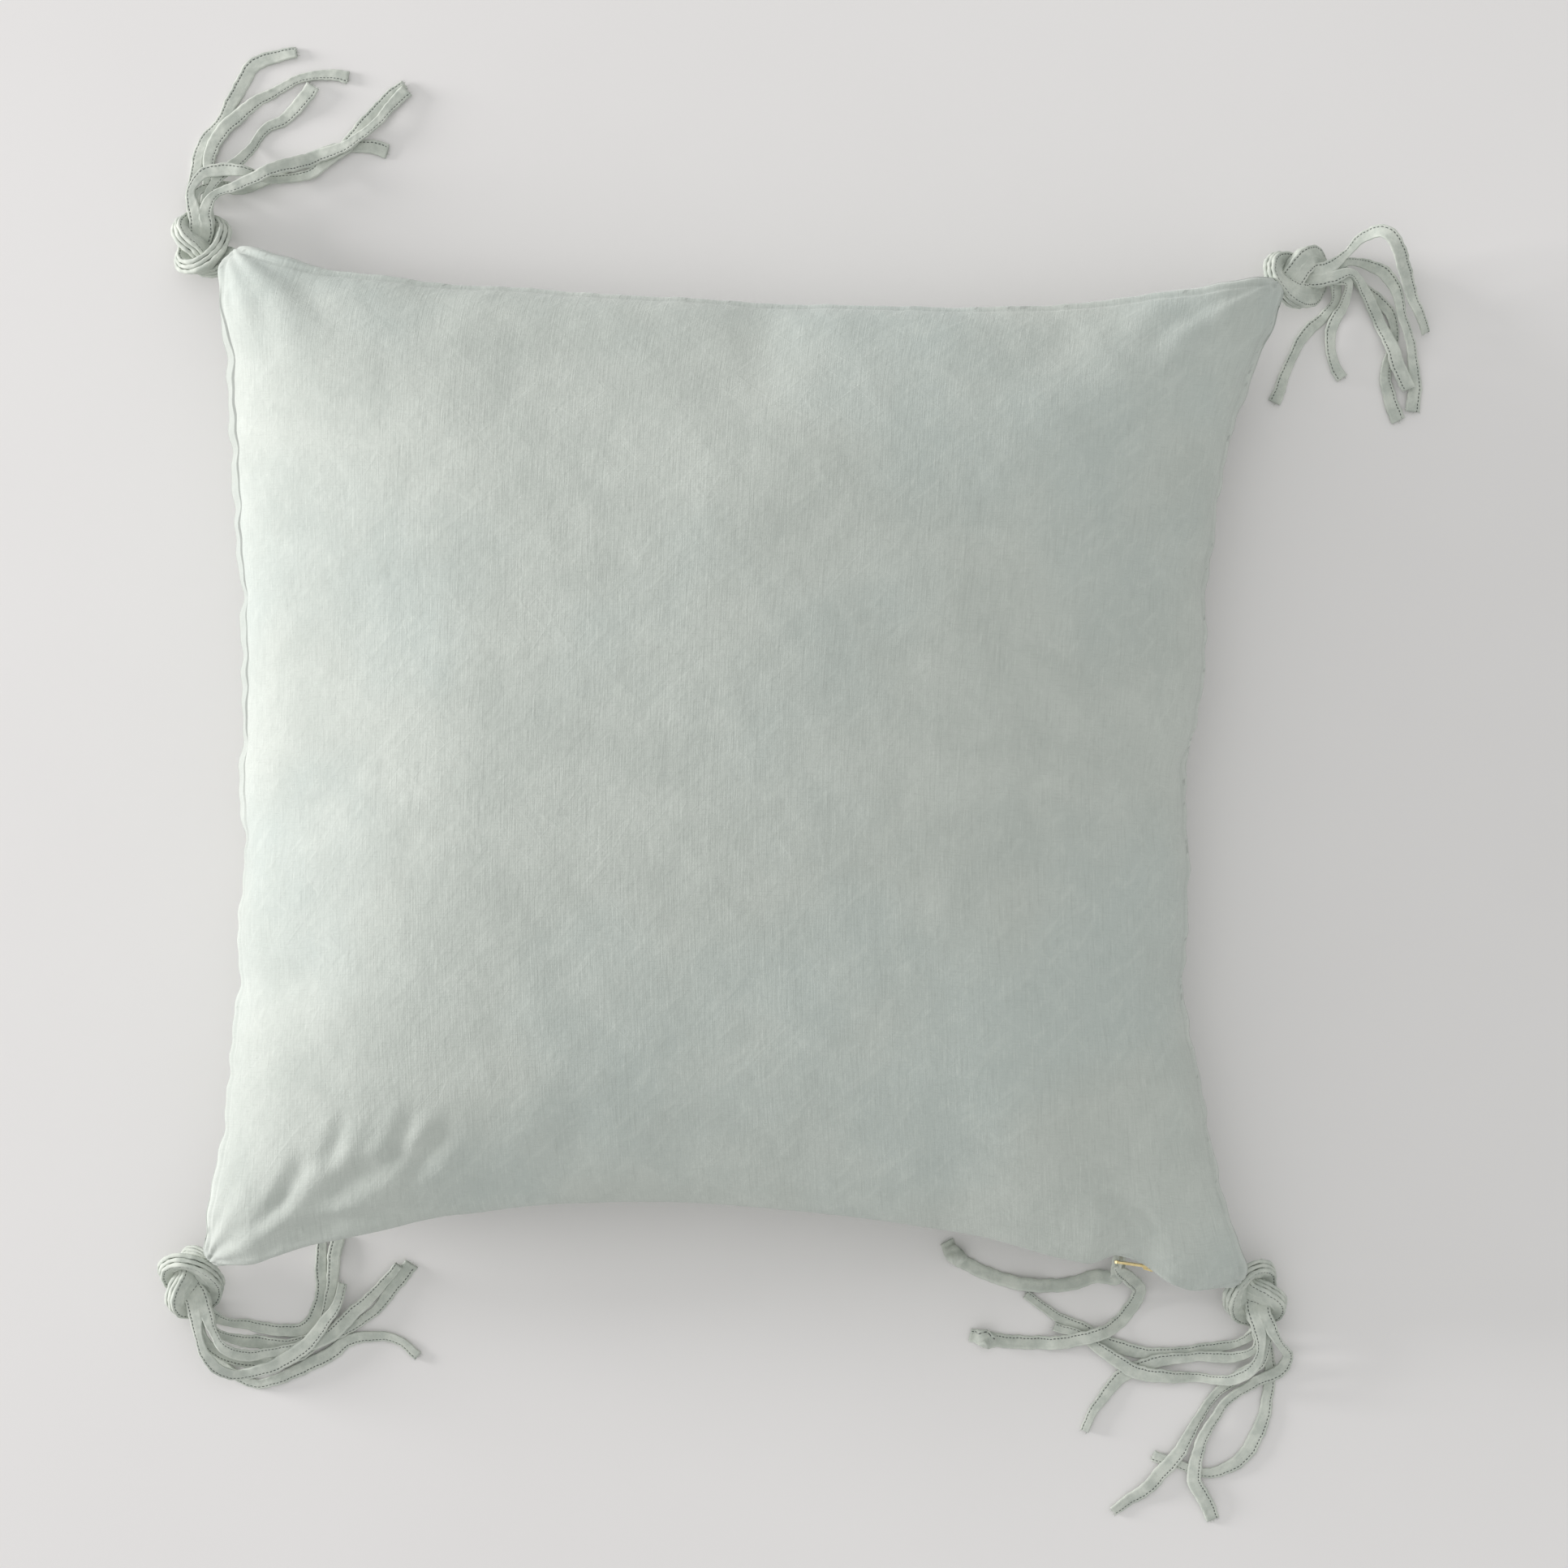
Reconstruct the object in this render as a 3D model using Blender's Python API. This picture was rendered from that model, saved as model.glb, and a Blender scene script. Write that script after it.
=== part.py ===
"""Square floor cushion: linen cover with a side zip, a stuffed insert and four knotted bunches of ties.

Lying on its back panel: the flat part of the back panel is z = 0, +Y is the far side, the zip is in the
-Y side seam. Metres.
"""
import math

import bmesh
import bpy
import numpy as np
from mathutils import Vector
from mathutils.geometry import tessellate_polygon

# ---- driving sizes ----
HALF_X_FAR = 0.377      # half width between the far corners
HALF_X_NEAR = 0.367     # half width between the near corners, where the zip is
HALF_Y = 0.3565         # half depth between corners
BOW_FAR = 0.033         # how far each side curves in at its middle
BOW_NEAR = 0.057
BOW_LEFT = 0.025
BOW_RIGHT = 0.055
THICK = 0.185           # height of the stuffed middle
SEAM_Z = 0.058          # height of the side seam
CORNER_Z = 0.027        # height of the seam at the corners
CLOTH = 0.0012          # cover cloth
TICKING = 0.0010        # insert casing cloth
INSERT_EASE = 0.0105    # how far the insert stops short of the seams
GAP = 0.0003            # between pieces that touch
FLAT = 0.68             # share of the underside, each way, that lies flat on the floor

ZIP_CLOSED_X = HALF_X_NEAR - 0.064      # where the slider sits when the zip is shut
ZIP_OPEN_X = 0.067 - HALF_X_NEAR        # where it sits when the zip is open
ZIP_SLIT = 0.0053       # half height of the slit the chain shows in
TEETH_HALF = 0.0029     # half height of the chain
TAPE = 0.0006
PULL_LENGTH = 0.0245
PULL_WIDTH = 0.0062
PULL_THICK = 0.0016
PULL_REST = 8.0         # degrees the pull stands off the chain at rest

TIE_WIDTH = 0.0100      # flat width of one tie
TIE_THICK = 0.0022
TIE_KNOT_WIDTH = 0.0044  # width it is folded to inside a knot
# thickness of the bundle in a knot: two ties side by side, three deep, and a little ease
KNOT = math.hypot(2 * (TIE_KNOT_WIDTH + GAP), 3 * (TIE_THICK + GAP)) + 0.00027461

# an open overhand knot in bundle thicknesses, along +X
KNOT_PATH = [(-1.30, 0.00, -0.20), (-0.45, 0.20, 0.30), (0.35, 0.95, 0.45), (1.10, 1.00, -0.25),
             (1.25, 0.20, -0.85), (0.70, -0.65, -0.65), (-0.05, -0.85, 0.10), (-0.85, -0.55, 0.80),
             (-1.35, 0.40, 0.80), (-1.00, 1.15, 0.10), (-0.15, 0.95, -0.50), (0.50, 0.20, -0.15),
             (1.30, 0.00, 0.20)]

# each corner: knot centre from the corner in mm, knot direction in degrees, then six ties from the
# bottom of the pile up, left and right in turn; each is a walk over the floor from the corner in mm
CORNERS = {
    "far_left": ((-1, 1), (-16, 14), 100, 0.0188, [
        [(-31, 50), (-28, 66), (-23, 89), (-9, 108), (0, 126), (13, 146), (26, 153), (43, 157)],
        [(-19, 52), (-18, 67), (-15, 88), (2, 110), (21, 123), (46, 137), (66, 142), (81, 140)],
        [(-23, 50), (-14, 56), (1, 57), (20, 64), (48, 77), (69, 87), (91, 91), (111, 87)],
        [(-13, 54), (-2, 68), (11, 84), (19, 98), (32, 105), (44, 115), (55, 133)],
        [(-27, 50), (-20, 62), (-8, 67), (12, 66), (33, 63), (55, 68), (67, 78), (87, 97), (104, 118), (122, 136)],
        [(-12, 47), (6, 55), (33, 69), (54, 77), (84, 91), (105, 110), (124, 131)]]),
    "far_right": ((1, 1), (18, 9), 15, 0.0188, [
        [(53, 19), (69, 6), (86, -10), (90, -27), (86, -50), (87, -67), (95, -88)],
        [(47, 6), (44, -8), (32, -20), (22, -34), (13, -54), (4, -77)],
        [(56, 24), (72, 22), (85, 11), (93, -11), (100, -29), (105, -55), (105, -81)],
        [(52, 11), (52, -6), (45, -20), (43, -34), (47, -46), (54, -58)],
        [(52, 30), (66, 44), (78, 40), (88, 24), (99, 2), (112, -24)],
        [(55, 15), (68, 2), (76, -12), (86, -30), (94, -50), (100, -66)]]),
    "near_left": ((-1, -1), (-13, -21), -75, 0.0188, [
        [(6, -50), (22, -53), (41, -56), (60, -56), (72, -48), (77, -30), (75, -8), (74, 14)],
        [(-8, -62), (7, -85), (33, -97), (49, -91), (64, -82), (78, -77), (94, -65), (118, -59), (134, -62), (148, -72)],
        [(4, -57), (16, -63), (32, -66), (54, -66), (72, -59), (81, -37), (85, -13), (87, 14)],
        [(-5, -62), (6, -74), (24, -79), (58, -74), (84, -60), (106, -48), (127, -26), (141, -6)],
        [(4, -60), (12, -69), (26, -74), (44, -72), (78, -61), (99, -44), (120, -22), (131, -6)],
        [(-7, -64), (2, -80), (18, -88), (38, -84), (60, -72), (78, -51), (88, -37), (93, -21)]]),
    "near_right": ((1, -1), (13, -10), -65, 0.0188, [
        [(28, -42), (31, -60), (30, -86), (24, -113), (7, -134), (-14, -141), (-37, -135), (-52, -130)],
        [(14, -41), (2, -48), (-24, -53), (-52, -55), (-83, -51), (-106, -40), (-130, -27), (-147, -15)],
        [(26, -42), (22, -59), (-2, -79), (-17, -98), (-32, -123), (-55, -153), (-80, -171)],
        [(19, -45), (10, -54), (-7, -57), (-33, -57), (-62, -65), (-79, -77), (-94, -95), (-103, -113)],
        [(32, -40), (42, -51), (38, -66), (17, -76), (-2, -90), (-15, -114), (-22, -141), (-17, -156), (-7, -175)],
        [(21, -48), (14, -63), (-4, -73), (-33, -72), (-62, -69), (-83, -60), (-106, -45), (-126, -37)]]),
}
KNOT_HAND = {"near_left": -1}       # this knot is tied the other way round
RISE = {"far_right_5": 0.040, "far_right_3": 0.014}   # ties that arch off the floor

# the tie through the pull: floor walks from the pull to each knotted end, mm from the near right corner
PULL_TIE_A = [(-84, -1), (-96, -1), (-119, -8), (-150, -8), (-177, -1), (-198, 10), (-206, 21)]
PULL_TIE_B = [(-66, -9), (-70, -22), (-83, -37), (-103, -45), (-129, -50), (-162, -50), (-187, -46)]

LINES = [0.0, 0.25, 0.48, 0.67, 0.80, 0.875, 0.94, 0.985, 1.0]
SEAM_DROP = {1.0: 0.0, 0.985: 0.25, 0.94: 0.65}

for ob in list(bpy.data.objects):
    bpy.data.objects.remove(ob, do_unlink=True)

NEAR_RADIUS = (HALF_X_NEAR ** 2 + BOW_NEAR ** 2) / (2 * BOW_NEAR)
NEAR_CENTRE = -HALF_Y + BOW_NEAR - NEAR_RADIUS      # y of the zip arc's centre, on x = 0


# ---- shared helpers ----
def material(name, rgb, roughness, metallic=0.0):
    mat = bpy.data.materials.get(name)
    if mat:
        return mat
    mat = bpy.data.materials.new(name)
    mat.use_nodes = True
    bsdf = mat.node_tree.nodes["Principled BSDF"]
    bsdf.inputs["Base Color"].default_value = (*rgb, 1.0)
    bsdf.inputs["Roughness"].default_value = roughness
    bsdf.inputs["Metallic"].default_value = metallic
    return mat


LINEN = material("sage_linen", (0.45, 0.51, 0.48), 0.9)
TIE = material("sage_tie", (0.46, 0.50, 0.45), 0.9)
COTTON = material("cotton_ticking", (0.78, 0.77, 0.72), 0.9)
FIBRE = material("polyester_fibre", (0.9, 0.9, 0.88), 1.0)
TAPE_MAT = material("zip_tape", (0.40, 0.45, 0.42), 0.8)
BRASS = material("brass", (0.80, 0.58, 0.24), 0.3, 1.0)


def make(name, verts, faces, mat):
    mesh = bpy.data.meshes.new(name)
    mesh.from_pydata([tuple(v) for v in verts], [], faces)
    mesh.materials.append(mat)
    mesh.validate()
    ob = bpy.data.objects.new(name, mesh)
    bpy.context.collection.objects.link(ob)
    bpy.context.view_layer.objects.active = ob
    ob.select_set(True)
    bpy.ops.object.mode_set(mode="EDIT")
    bpy.ops.mesh.select_all(action="SELECT")
    bpy.ops.mesh.quads_convert_to_tris()
    bpy.ops.mesh.normals_make_consistent(inside=False)
    bpy.ops.object.mode_set(mode="OBJECT")
    ob.select_set(False)
    if signed_volume(mesh) < 0:
        mesh.flip_normals()
    return ob


def signed_volume(mesh):
    bm = bmesh.new()
    bm.from_mesh(mesh)
    volume = bm.calc_volume(signed=True)
    bm.free()
    return volume


def loft(name, sections, mat, closed=False):
    """A solid through equal rings of points, capped at both ends."""
    n = len(sections[0])
    verts = [p for ring in sections for p in ring]
    faces = []
    for k in range(len(sections) - 1):
        for i in range(n):
            j = (i + 1) % n
            faces.append((k * n + i, k * n + j, (k + 1) * n + j, (k + 1) * n + i))
    faces.append(tuple(range(n))[::-1])
    faces.append(tuple((len(sections) - 1) * n + i for i in range(n)))
    return make(name, verts, faces, mat)


def box_verts(lo, hi):
    return [(x, y, z) for x in (lo[0], hi[0]) for y in (lo[1], hi[1]) for z in (lo[2], hi[2])]


BOX_FACES = [(0, 1, 3, 2), (4, 6, 7, 5), (0, 4, 5, 1), (2, 3, 7, 6), (0, 2, 6, 4), (1, 5, 7, 3)]


def join_solids(obs, name):
    base = obs[0]
    for other in obs[1:]:
        mod = base.modifiers.new("u", "BOOLEAN")
        mod.operation = "UNION"
        mod.solver = "EXACT"
        mod.object = other
        bpy.context.view_layer.objects.active = base
        bpy.ops.object.modifier_apply(modifier=mod.name)
        bpy.data.objects.remove(other, do_unlink=True)
    base.name = name
    base.data.name = name
    return base


def smooth(t):
    t = min(1.0, max(0.0, t))
    return t * t * (3 - 2 * t)


# ---- the stuffed shape ----
def line_table(value, table):
    """Straight-line lookup in {position: value}, 1 below the lowest position."""
    keys = sorted(table)
    if value <= 0.875:
        return 1.0
    marks = [0.875] + keys
    vals = [1.0] + [table[k] for k in keys]
    return float(np.interp(value, marks, vals))


def side(x, half, bow):
    """How far a bowed side sits in from its chord: a circular arc."""
    r = (half * half + bow * bow) / (2 * bow)
    return math.sqrt(max(r * r - x * x, 0.0)) - (r - bow)


def plan(u, v):
    """Where (u, v) in -1..1 lies in plan on the cover, corners blunted where the ties come out."""
    s, t = (u + 1) / 2, (v + 1) / 2
    near = np.array([HALF_X_NEAR * u, -HALF_Y + side(HALF_X_NEAR * u, HALF_X_NEAR, BOW_NEAR)])
    far = np.array([HALF_X_FAR * u, HALF_Y - side(HALF_X_FAR * u, HALF_X_FAR, BOW_FAR)])
    edge = HALF_X_NEAR + (HALF_X_FAR - HALF_X_NEAR) * t
    left = np.array([-edge + side(HALF_Y * v, HALF_Y, BOW_LEFT), HALF_Y * v])
    right = np.array([edge - side(HALF_Y * v, HALF_Y, BOW_RIGHT), HALF_Y * v])
    corners = ((1 - s) * (1 - t) * np.array([-HALF_X_NEAR, -HALF_Y])
               + s * (1 - t) * np.array([HALF_X_NEAR, -HALF_Y])
               + (1 - s) * t * np.array([-HALF_X_FAR, HALF_Y])
               + s * t * np.array([HALF_X_FAR, HALF_Y]))
    p = (1 - t) * near + t * far + (1 - s) * left + s * right - corners
    for sx in (-1, 1):
        for sy in (-1, 1):
            d = corner_distance(u, v, sx, sy)
            if d < BLUNT_REACH:
                p = p - np.array([sx, sy]) * BLUNT * (1 - d / BLUNT_REACH) ** 2 / math.sqrt(2)
    return p


BLUNT = 0.014
BLUNT_REACH = 0.030
THROAT = 0.0055         # half height of the opening the ties leave each corner by


def corner_distance(u, v, sx, sy):
    return math.hypot((1 - sx * u) * HALF_X_FAR, (1 - sy * v) * HALF_Y)


def seam_height(u, v):
    bu, bv = line_table(abs(u), SEAM_DROP), line_table(abs(v), SEAM_DROP)
    return CORNER_Z + (SEAM_Z - CORNER_Z) * (1 - (1 - bu) * (1 - bv))


def fullness(u, v):
    return math.sqrt(max((1 - abs(u) ** 2.4) * (1 - abs(v) ** 2.4), 0.0))


def opening(u, v):
    """Half the height the two panels stand apart at their edges."""
    d = min(corner_distance(u, v, sx, sy) for sx in (-1, 1) for sy in (-1, 1))
    o = GAP / 2 + (THROAT - GAP / 2) * max(0.0, 1 - d / 0.044)
    if v <= -1 and abs(u) <= 0.876:
        o = max(o, ZIP_SLIT)
    return o


def belly(u, v):
    """Height of the resting underside: flat in the middle, easing up a little towards the sides."""
    return 0.0008 * max(0.0, max(abs(u), abs(v)) - FLAT)


def skin(u, v, top, inset=0.0):
    """A point of the stuffed surface, or of one lying a distance inside it."""
    x, y = plan(u, v)
    x *= 1 - inset / HALF_X_NEAR
    y *= 1 - inset / HALF_Y
    f = fullness(u, v)
    zs, o = seam_height(u, v), opening(u, v)
    drop = inset * min(1.0, 4 * f)
    if top:
        return (x, y, zs + o + (THICK - zs) * f - drop)
    return (x, y, max(belly(u, v), zs - o - 0.112 * f) + drop)


def cell(a, b, c, d, i, j, n, across=False):
    """Two triangles for a grid cell a b / d c, split along the line to the corner, or across it."""
    if ((2 * i < n - 1) == (2 * j < n - 1)) != across:
        return [(a, b, c), (a, c, d)]
    return [(a, b, d), (b, c, d)]


def inner_skin(u, v, top, inset):
    """A point of a rounder-cornered body lying inside the cover, its faces close under the cloth."""
    cut = 0.06 * (abs(u) * abs(v)) ** 8
    back = INSERT_EASE + inset
    iu, iv = u * (1 - back / HALF_X_NEAR) * (1 - cut), v * (1 - back / HALF_Y) * (1 - cut)
    x, y = plan(iu, iv)
    f = fullness(u, v)
    zs = seam_height(iu, iv)
    if top:
        return (x, y, zs + GAP / 2 + (THICK - inset - zs) * f)
    return (x, y, max(inset + belly(u, v), zs - GAP / 2 - 0.106 * f))


def grid_lines(lines):
    return [-t for t in reversed(lines[1:])] + lines


def shell(name, top, outer, inner, lines, mat, surface=skin, across=False):
    """A dished panel between two insets of the stuffed surface."""
    g = grid_lines(lines)
    n = len(g)
    verts = [surface(u, v, top, outer) for v in g for u in g]
    verts += [surface(u, v, top, inner) for v in g for u in g]
    faces = []
    for b in (0, n * n):
        for j in range(n - 1):
            for i in range(n - 1):
                a = b + j * n + i
                faces += cell(a, a + 1, a + n + 1, a + n, i, j, n, across)
    ring = ([i for i in range(n)] + [j * n + n - 1 for j in range(1, n)]
            + [(n - 1) * n + i for i in range(n - 2, -1, -1)] + [j * n for j in range(n - 2, 0, -1)])
    for a, b in zip(ring, ring[1:] + ring[:1]):
        faces.append((a, b, b + n * n, a + n * n))
    return make(name, verts, faces, mat)


def pad(name, inset, lines, mat):
    """The solid filling: both halves of one inset surface, sharing a rim."""
    g = grid_lines(lines)
    n = len(g)
    verts, top, back = [], {}, {}
    for j, v in enumerate(g):
        for i, u in enumerate(g):
            upper, lower = inner_skin(u, v, True, inset), inner_skin(u, v, False, inset)
            if i in (0, n - 1) or j in (0, n - 1):
                top[i, j] = back[i, j] = len(verts)
                verts.append((upper[0], upper[1], (upper[2] + lower[2]) / 2))
            else:
                top[i, j] = len(verts)
                verts.append(upper)
                back[i, j] = len(verts)
                verts.append(lower)
    faces = []
    for idx in (top, back):
        for j in range(n - 1):
            for i in range(n - 1):
                faces += cell(idx[i, j], idx[i + 1, j], idx[i + 1, j + 1], idx[i, j + 1], i, j, n)
    return make(name, verts, faces, mat)


def build_cover():
    shell("cover_front_panel", True, 0.0, CLOTH, LINES, LINEN)
    shell("cover_back_panel", False, 0.0, CLOTH, LINES, LINEN, across=True)


def build_insert():
    lines = LINES[::2]
    outer = CLOTH + GAP
    for name, top in (("insert_casing_front", True), ("insert_casing_back", False)):
        shell(name, top, outer, outer + TICKING, lines, COTTON, inner_skin)
    pad("insert_filling", outer + TICKING + GAP, lines, FIBRE)


# ---- the zip ----
def on_arc(radial, x_along, z):
    """A point a distance inside the zip arc, at the arc position whose x is x_along."""
    phi = math.asin(x_along / NEAR_RADIUS)
    r = NEAR_RADIUS + radial
    return (r * math.sin(phi), NEAR_CENTRE + r * math.cos(phi), z)


CHAIN = 0.0018           # the chain's middle, inside the arc
START_X = ZIP_OPEN_X - 0.0095
END_X = ZIP_CLOSED_X + 0.0075


def tape_ring(x, s):
    """One tape's section: from the teeth to the slit's edge, then back inside the panel's wall."""
    u = x / HALF_X_NEAR
    rim, wall = skin(u, -1.0, s > 0, CLOTH), skin(u, -0.985, s > 0, CLOTH)
    rise = abs(wall[2] - rim[2])
    g = min(0.9, 0.0105 / rise)
    lean = (math.hypot(wall[0], wall[1] - NEAR_CENTRE) - math.hypot(rim[0], rim[1] - NEAR_CENTRE)) * g + 0.0006
    lo, hi = CHAIN - TAPE / 2, CHAIN + TAPE / 2
    lip, edge, top = TEETH_HALF + GAP, ZIP_SLIT, ZIP_SLIT + rise * g
    return [on_arc(r, x, SEAM_Z + s * z) for r, z in (
        (lo, lip), (lo, edge), (lo + lean, top), (hi + lean, top), (hi, edge), (hi, lip))]


def build_zip():
    xs = list(np.linspace(START_X, END_X, 15))
    tape_xs = list(np.linspace(START_X - 0.004, END_X + 0.007, 15))
    for name, s in (("front", 1), ("back", -1)):
        loft(f"zip_tape_{name}", [tape_ring(x, s) for x in tape_xs], TAPE_MAT)
        row = [(CHAIN - 0.0014, 0.0007), (CHAIN + 0.0014, 0.0007), (CHAIN + 0.0014, TEETH_HALF),
               (CHAIN - 0.0014, TEETH_HALF)]
        loft(f"zip_teeth_{name}", [[on_arc(r, x, SEAM_Z + s * z) for r, z in row] for x in xs], BRASS)
        stop = [(CHAIN - 0.0016, 0.0007), (CHAIN + 0.0016, 0.0007), (CHAIN + 0.0016, TEETH_HALF),
                (CHAIN - 0.0016, TEETH_HALF)]
        ends = (END_X + GAP, END_X + 0.0035)
        loft(f"zip_top_stop_{name}", [[on_arc(r, x, SEAM_Z + s * z) for r, z in stop] for x in ends], BRASS)
    stop = [(CHAIN - 0.0018, -TEETH_HALF), (CHAIN + 0.0018, -TEETH_HALF), (CHAIN + 0.0018, TEETH_HALF),
            (CHAIN - 0.0018, TEETH_HALF)]
    ends = (START_X - 0.0038, START_X - GAP)
    loft("zip_bottom_stop", [[on_arc(r, x, SEAM_Z + z) for r, z in stop] for x in ends], BRASS)


def zip_axis():
    """Empty on the arc's centre line, turned to where the slider rests."""
    axis = bpy.data.objects.new("zip_axis", None)
    bpy.context.collection.objects.link(axis)
    axis.location = (0, NEAR_CENTRE, SEAM_Z)
    axis.rotation_euler.z = -math.asin(ZIP_CLOSED_X / NEAR_RADIUS)
    return axis


PLATE_OUT = CHAIN - 0.0030      # outer face of the slider's front plate
PIVOT_OUT = PLATE_OUT - 0.0024  # the pull's pivot line


def octagon(x0, x1, z0, z1, cut):
    return [(x0 + cut, z0), (x1 - cut, z0), (x1, z0 + cut), (x1, z1 - cut), (x1 - cut, z1), (x0 + cut, z1),
            (x0, z1 - cut), (x0, z0 + cut)]


def prism(name, loops, y0, y1, mat):
    """Extrude an (x, z) outline with holes between two y values."""
    flat = [p for loop in loops for p in loop]
    tris = tessellate_polygon([[Vector((x, z, 0.0)) for x, z in loop] for loop in loops])
    n = len(flat)
    verts = [(x, y0, z) for x, z in flat] + [(x, y1, z) for x, z in flat]
    faces = [tuple(t) for t in tris] + [tuple(i + n for i in t) for t in tris]
    start = 0
    for loop in loops:
        m = len(loop)
        for i in range(m):
            a, b = start + i, start + (i + 1) % m
            faces.append((a, b, b + n, a + n))
        start += m
    return make(name, verts, faces, mat)


def build_slider(axis):
    plate = octagon(-0.0065, 0.0065, -0.0042, 0.0042, 0.0016)
    front = prism("front", [plate], PLATE_OUT, PLATE_OUT + 0.0011, BRASS)
    back = prism("back", [plate], CHAIN + 0.0019, CHAIN + 0.0030, BRASS)
    post = make("post", box_verts((0.0024, PLATE_OUT + 0.0006, -0.0004), (0.0052, CHAIN + 0.0024, 0.0004)),
                BOX_FACES, BRASS)
    arch = [(-0.0044, 0.0005), (-0.0044, -0.0040), (-0.0030, -0.0054), (0.0030, -0.0054), (0.0044, -0.0040),
            (0.0044, 0.0005), (0.0028, 0.0005), (0.0028, -0.0036), (0.0022, -0.0040), (-0.0022, -0.0040),
            (-0.0028, -0.0036), (-0.0028, 0.0005)]
    crown = prism("crown", [arch], -0.0009, 0.0009, BRASS)
    for v in crown.data.vertices:
        x, y, z = v.co
        v.co = (x, PLATE_OUT + z, y)
    if signed_volume(crown.data) < 0:
        crown.data.flip_normals()
    ob = join_solids([front, post, back, crown], "zip_slider")
    ob.parent = axis
    ob.location = (0, NEAR_RADIUS, 0)
    return ob


def build_pull(slider):
    """Flat pull: a window at the pivot end that the crown passes through, a slot for the tie at the other."""
    w = PULL_WIDTH / 2
    outline = octagon(-PULL_LENGTH, 0.0008, -w, w, 0.0012)
    window = [(-0.0066, -0.0014), (-0.0066, 0.0014), (-0.0008, 0.0014), (-0.0008, -0.0014)]
    slot = octagon(-PULL_LENGTH + 0.0022, -PULL_LENGTH + 0.0062, -0.0019, 0.0019, 0.0009)
    ob = prism("zip_pull", [outline, window, slot], -PULL_THICK / 2, PULL_THICK / 2, BRASS)
    ob.parent = slider
    ob.location = (0, PIVOT_OUT, 0)
    ob.rotation_euler.z = math.radians(PULL_REST)


# ---- ties ----
def curve_through(points, step):
    """Evenly spaced points on a smooth curve through the given ones."""
    p = np.array(points, float)
    p = np.vstack([2 * p[0] - p[1], p, 2 * p[-1] - p[-2]])
    fine = []
    for k in range(1, len(p) - 2):
        a, b, c, d = p[k - 1], p[k], p[k + 1], p[k + 2]
        for t in np.linspace(0, 1, 16, endpoint=False):
            fine.append(0.5 * (2 * b + (c - a) * t + (2 * a - 5 * b + 4 * c - d) * t * t
                               + (3 * b - a - 3 * c + d) * t ** 3))
    fine.append(p[-2])
    fine = np.array(fine)
    s = np.r_[0, np.cumsum(np.linalg.norm(np.diff(fine, axis=0), axis=1))]
    n = max(2, int(round(s[-1] / step)) + 1)
    q = np.linspace(0, s[-1], n)
    return np.stack([np.interp(q, s, fine[:, k]) for k in range(fine.shape[1])], 1)


def directions(p):
    d = np.gradient(p, axis=0)
    return d / np.linalg.norm(d, axis=1)[:, None]


def bundle(corner, step):
    """The shared line of one corner's six ties, from inside the seam through the knot: points and frames."""
    (sx, sy), centre, angle, height, _ = CORNERS[corner]
    tip = np.array([*plan(sx, sy), CORNER_Z])
    out = np.array([sx, sy, 0]) / math.sqrt(2)
    base = corner_point(corner)
    c, s = math.cos(math.radians(angle)), math.sin(math.radians(angle))
    pts = [tip - 0.010 * out, tip - 0.004 * out, tip + 0.002 * out]
    for x, y, z in KNOT_PATH:
        x, y = x * KNOT, y * KNOT * KNOT_HAND.get(corner, 1)
        pts.append(np.array([base[0] + centre[0] / 1000 + x * c - y * s,
                             base[1] + centre[1] / 1000 + x * s + y * c, height + z * KNOT]))
    pts.append(np.array([base[0] + centre[0] / 1000 + 1.75 * KNOT * c,
                         base[1] + centre[1] / 1000 + 1.75 * KNOT * s, height + 0.22 * KNOT]))
    line = curve_through(pts, step)
    t = directions(line)
    side_v = [np.cross((0, 0, 1.0), t[0])]
    side_v[0] /= np.linalg.norm(side_v[0])
    for k in range(1, len(line)):
        v = side_v[-1] - np.dot(side_v[-1], t[k]) * t[k]
        side_v.append(v / np.linalg.norm(v))
    want = np.cross((0, 0, 1.0), t[-1])
    want /= np.linalg.norm(want)
    up = np.cross(t[-1], side_v[-1])
    turn = math.atan2(np.dot(want, up), np.dot(want, side_v[-1]))
    sides, ups = [], []
    for k, v in enumerate(side_v):
        a = turn * smooth(k / (len(line) - 1))
        u = np.cross(t[k], v)
        sides.append(v * math.cos(a) + u * math.sin(a))
        ups.append(np.cross(t[k], sides[-1]))
    return line, np.array(sides), np.array(ups)


def corner_point(corner):
    sx, sy = CORNERS[corner][0]
    return np.array([sx * (HALF_X_FAR if sy > 0 else HALF_X_NEAR), sy * HALF_Y])


def tie_width(s):
    return TIE_KNOT_WIDTH + (TIE_WIDTH - TIE_KNOT_WIDTH) * smooth((s - 0.006) / 0.045)


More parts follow.
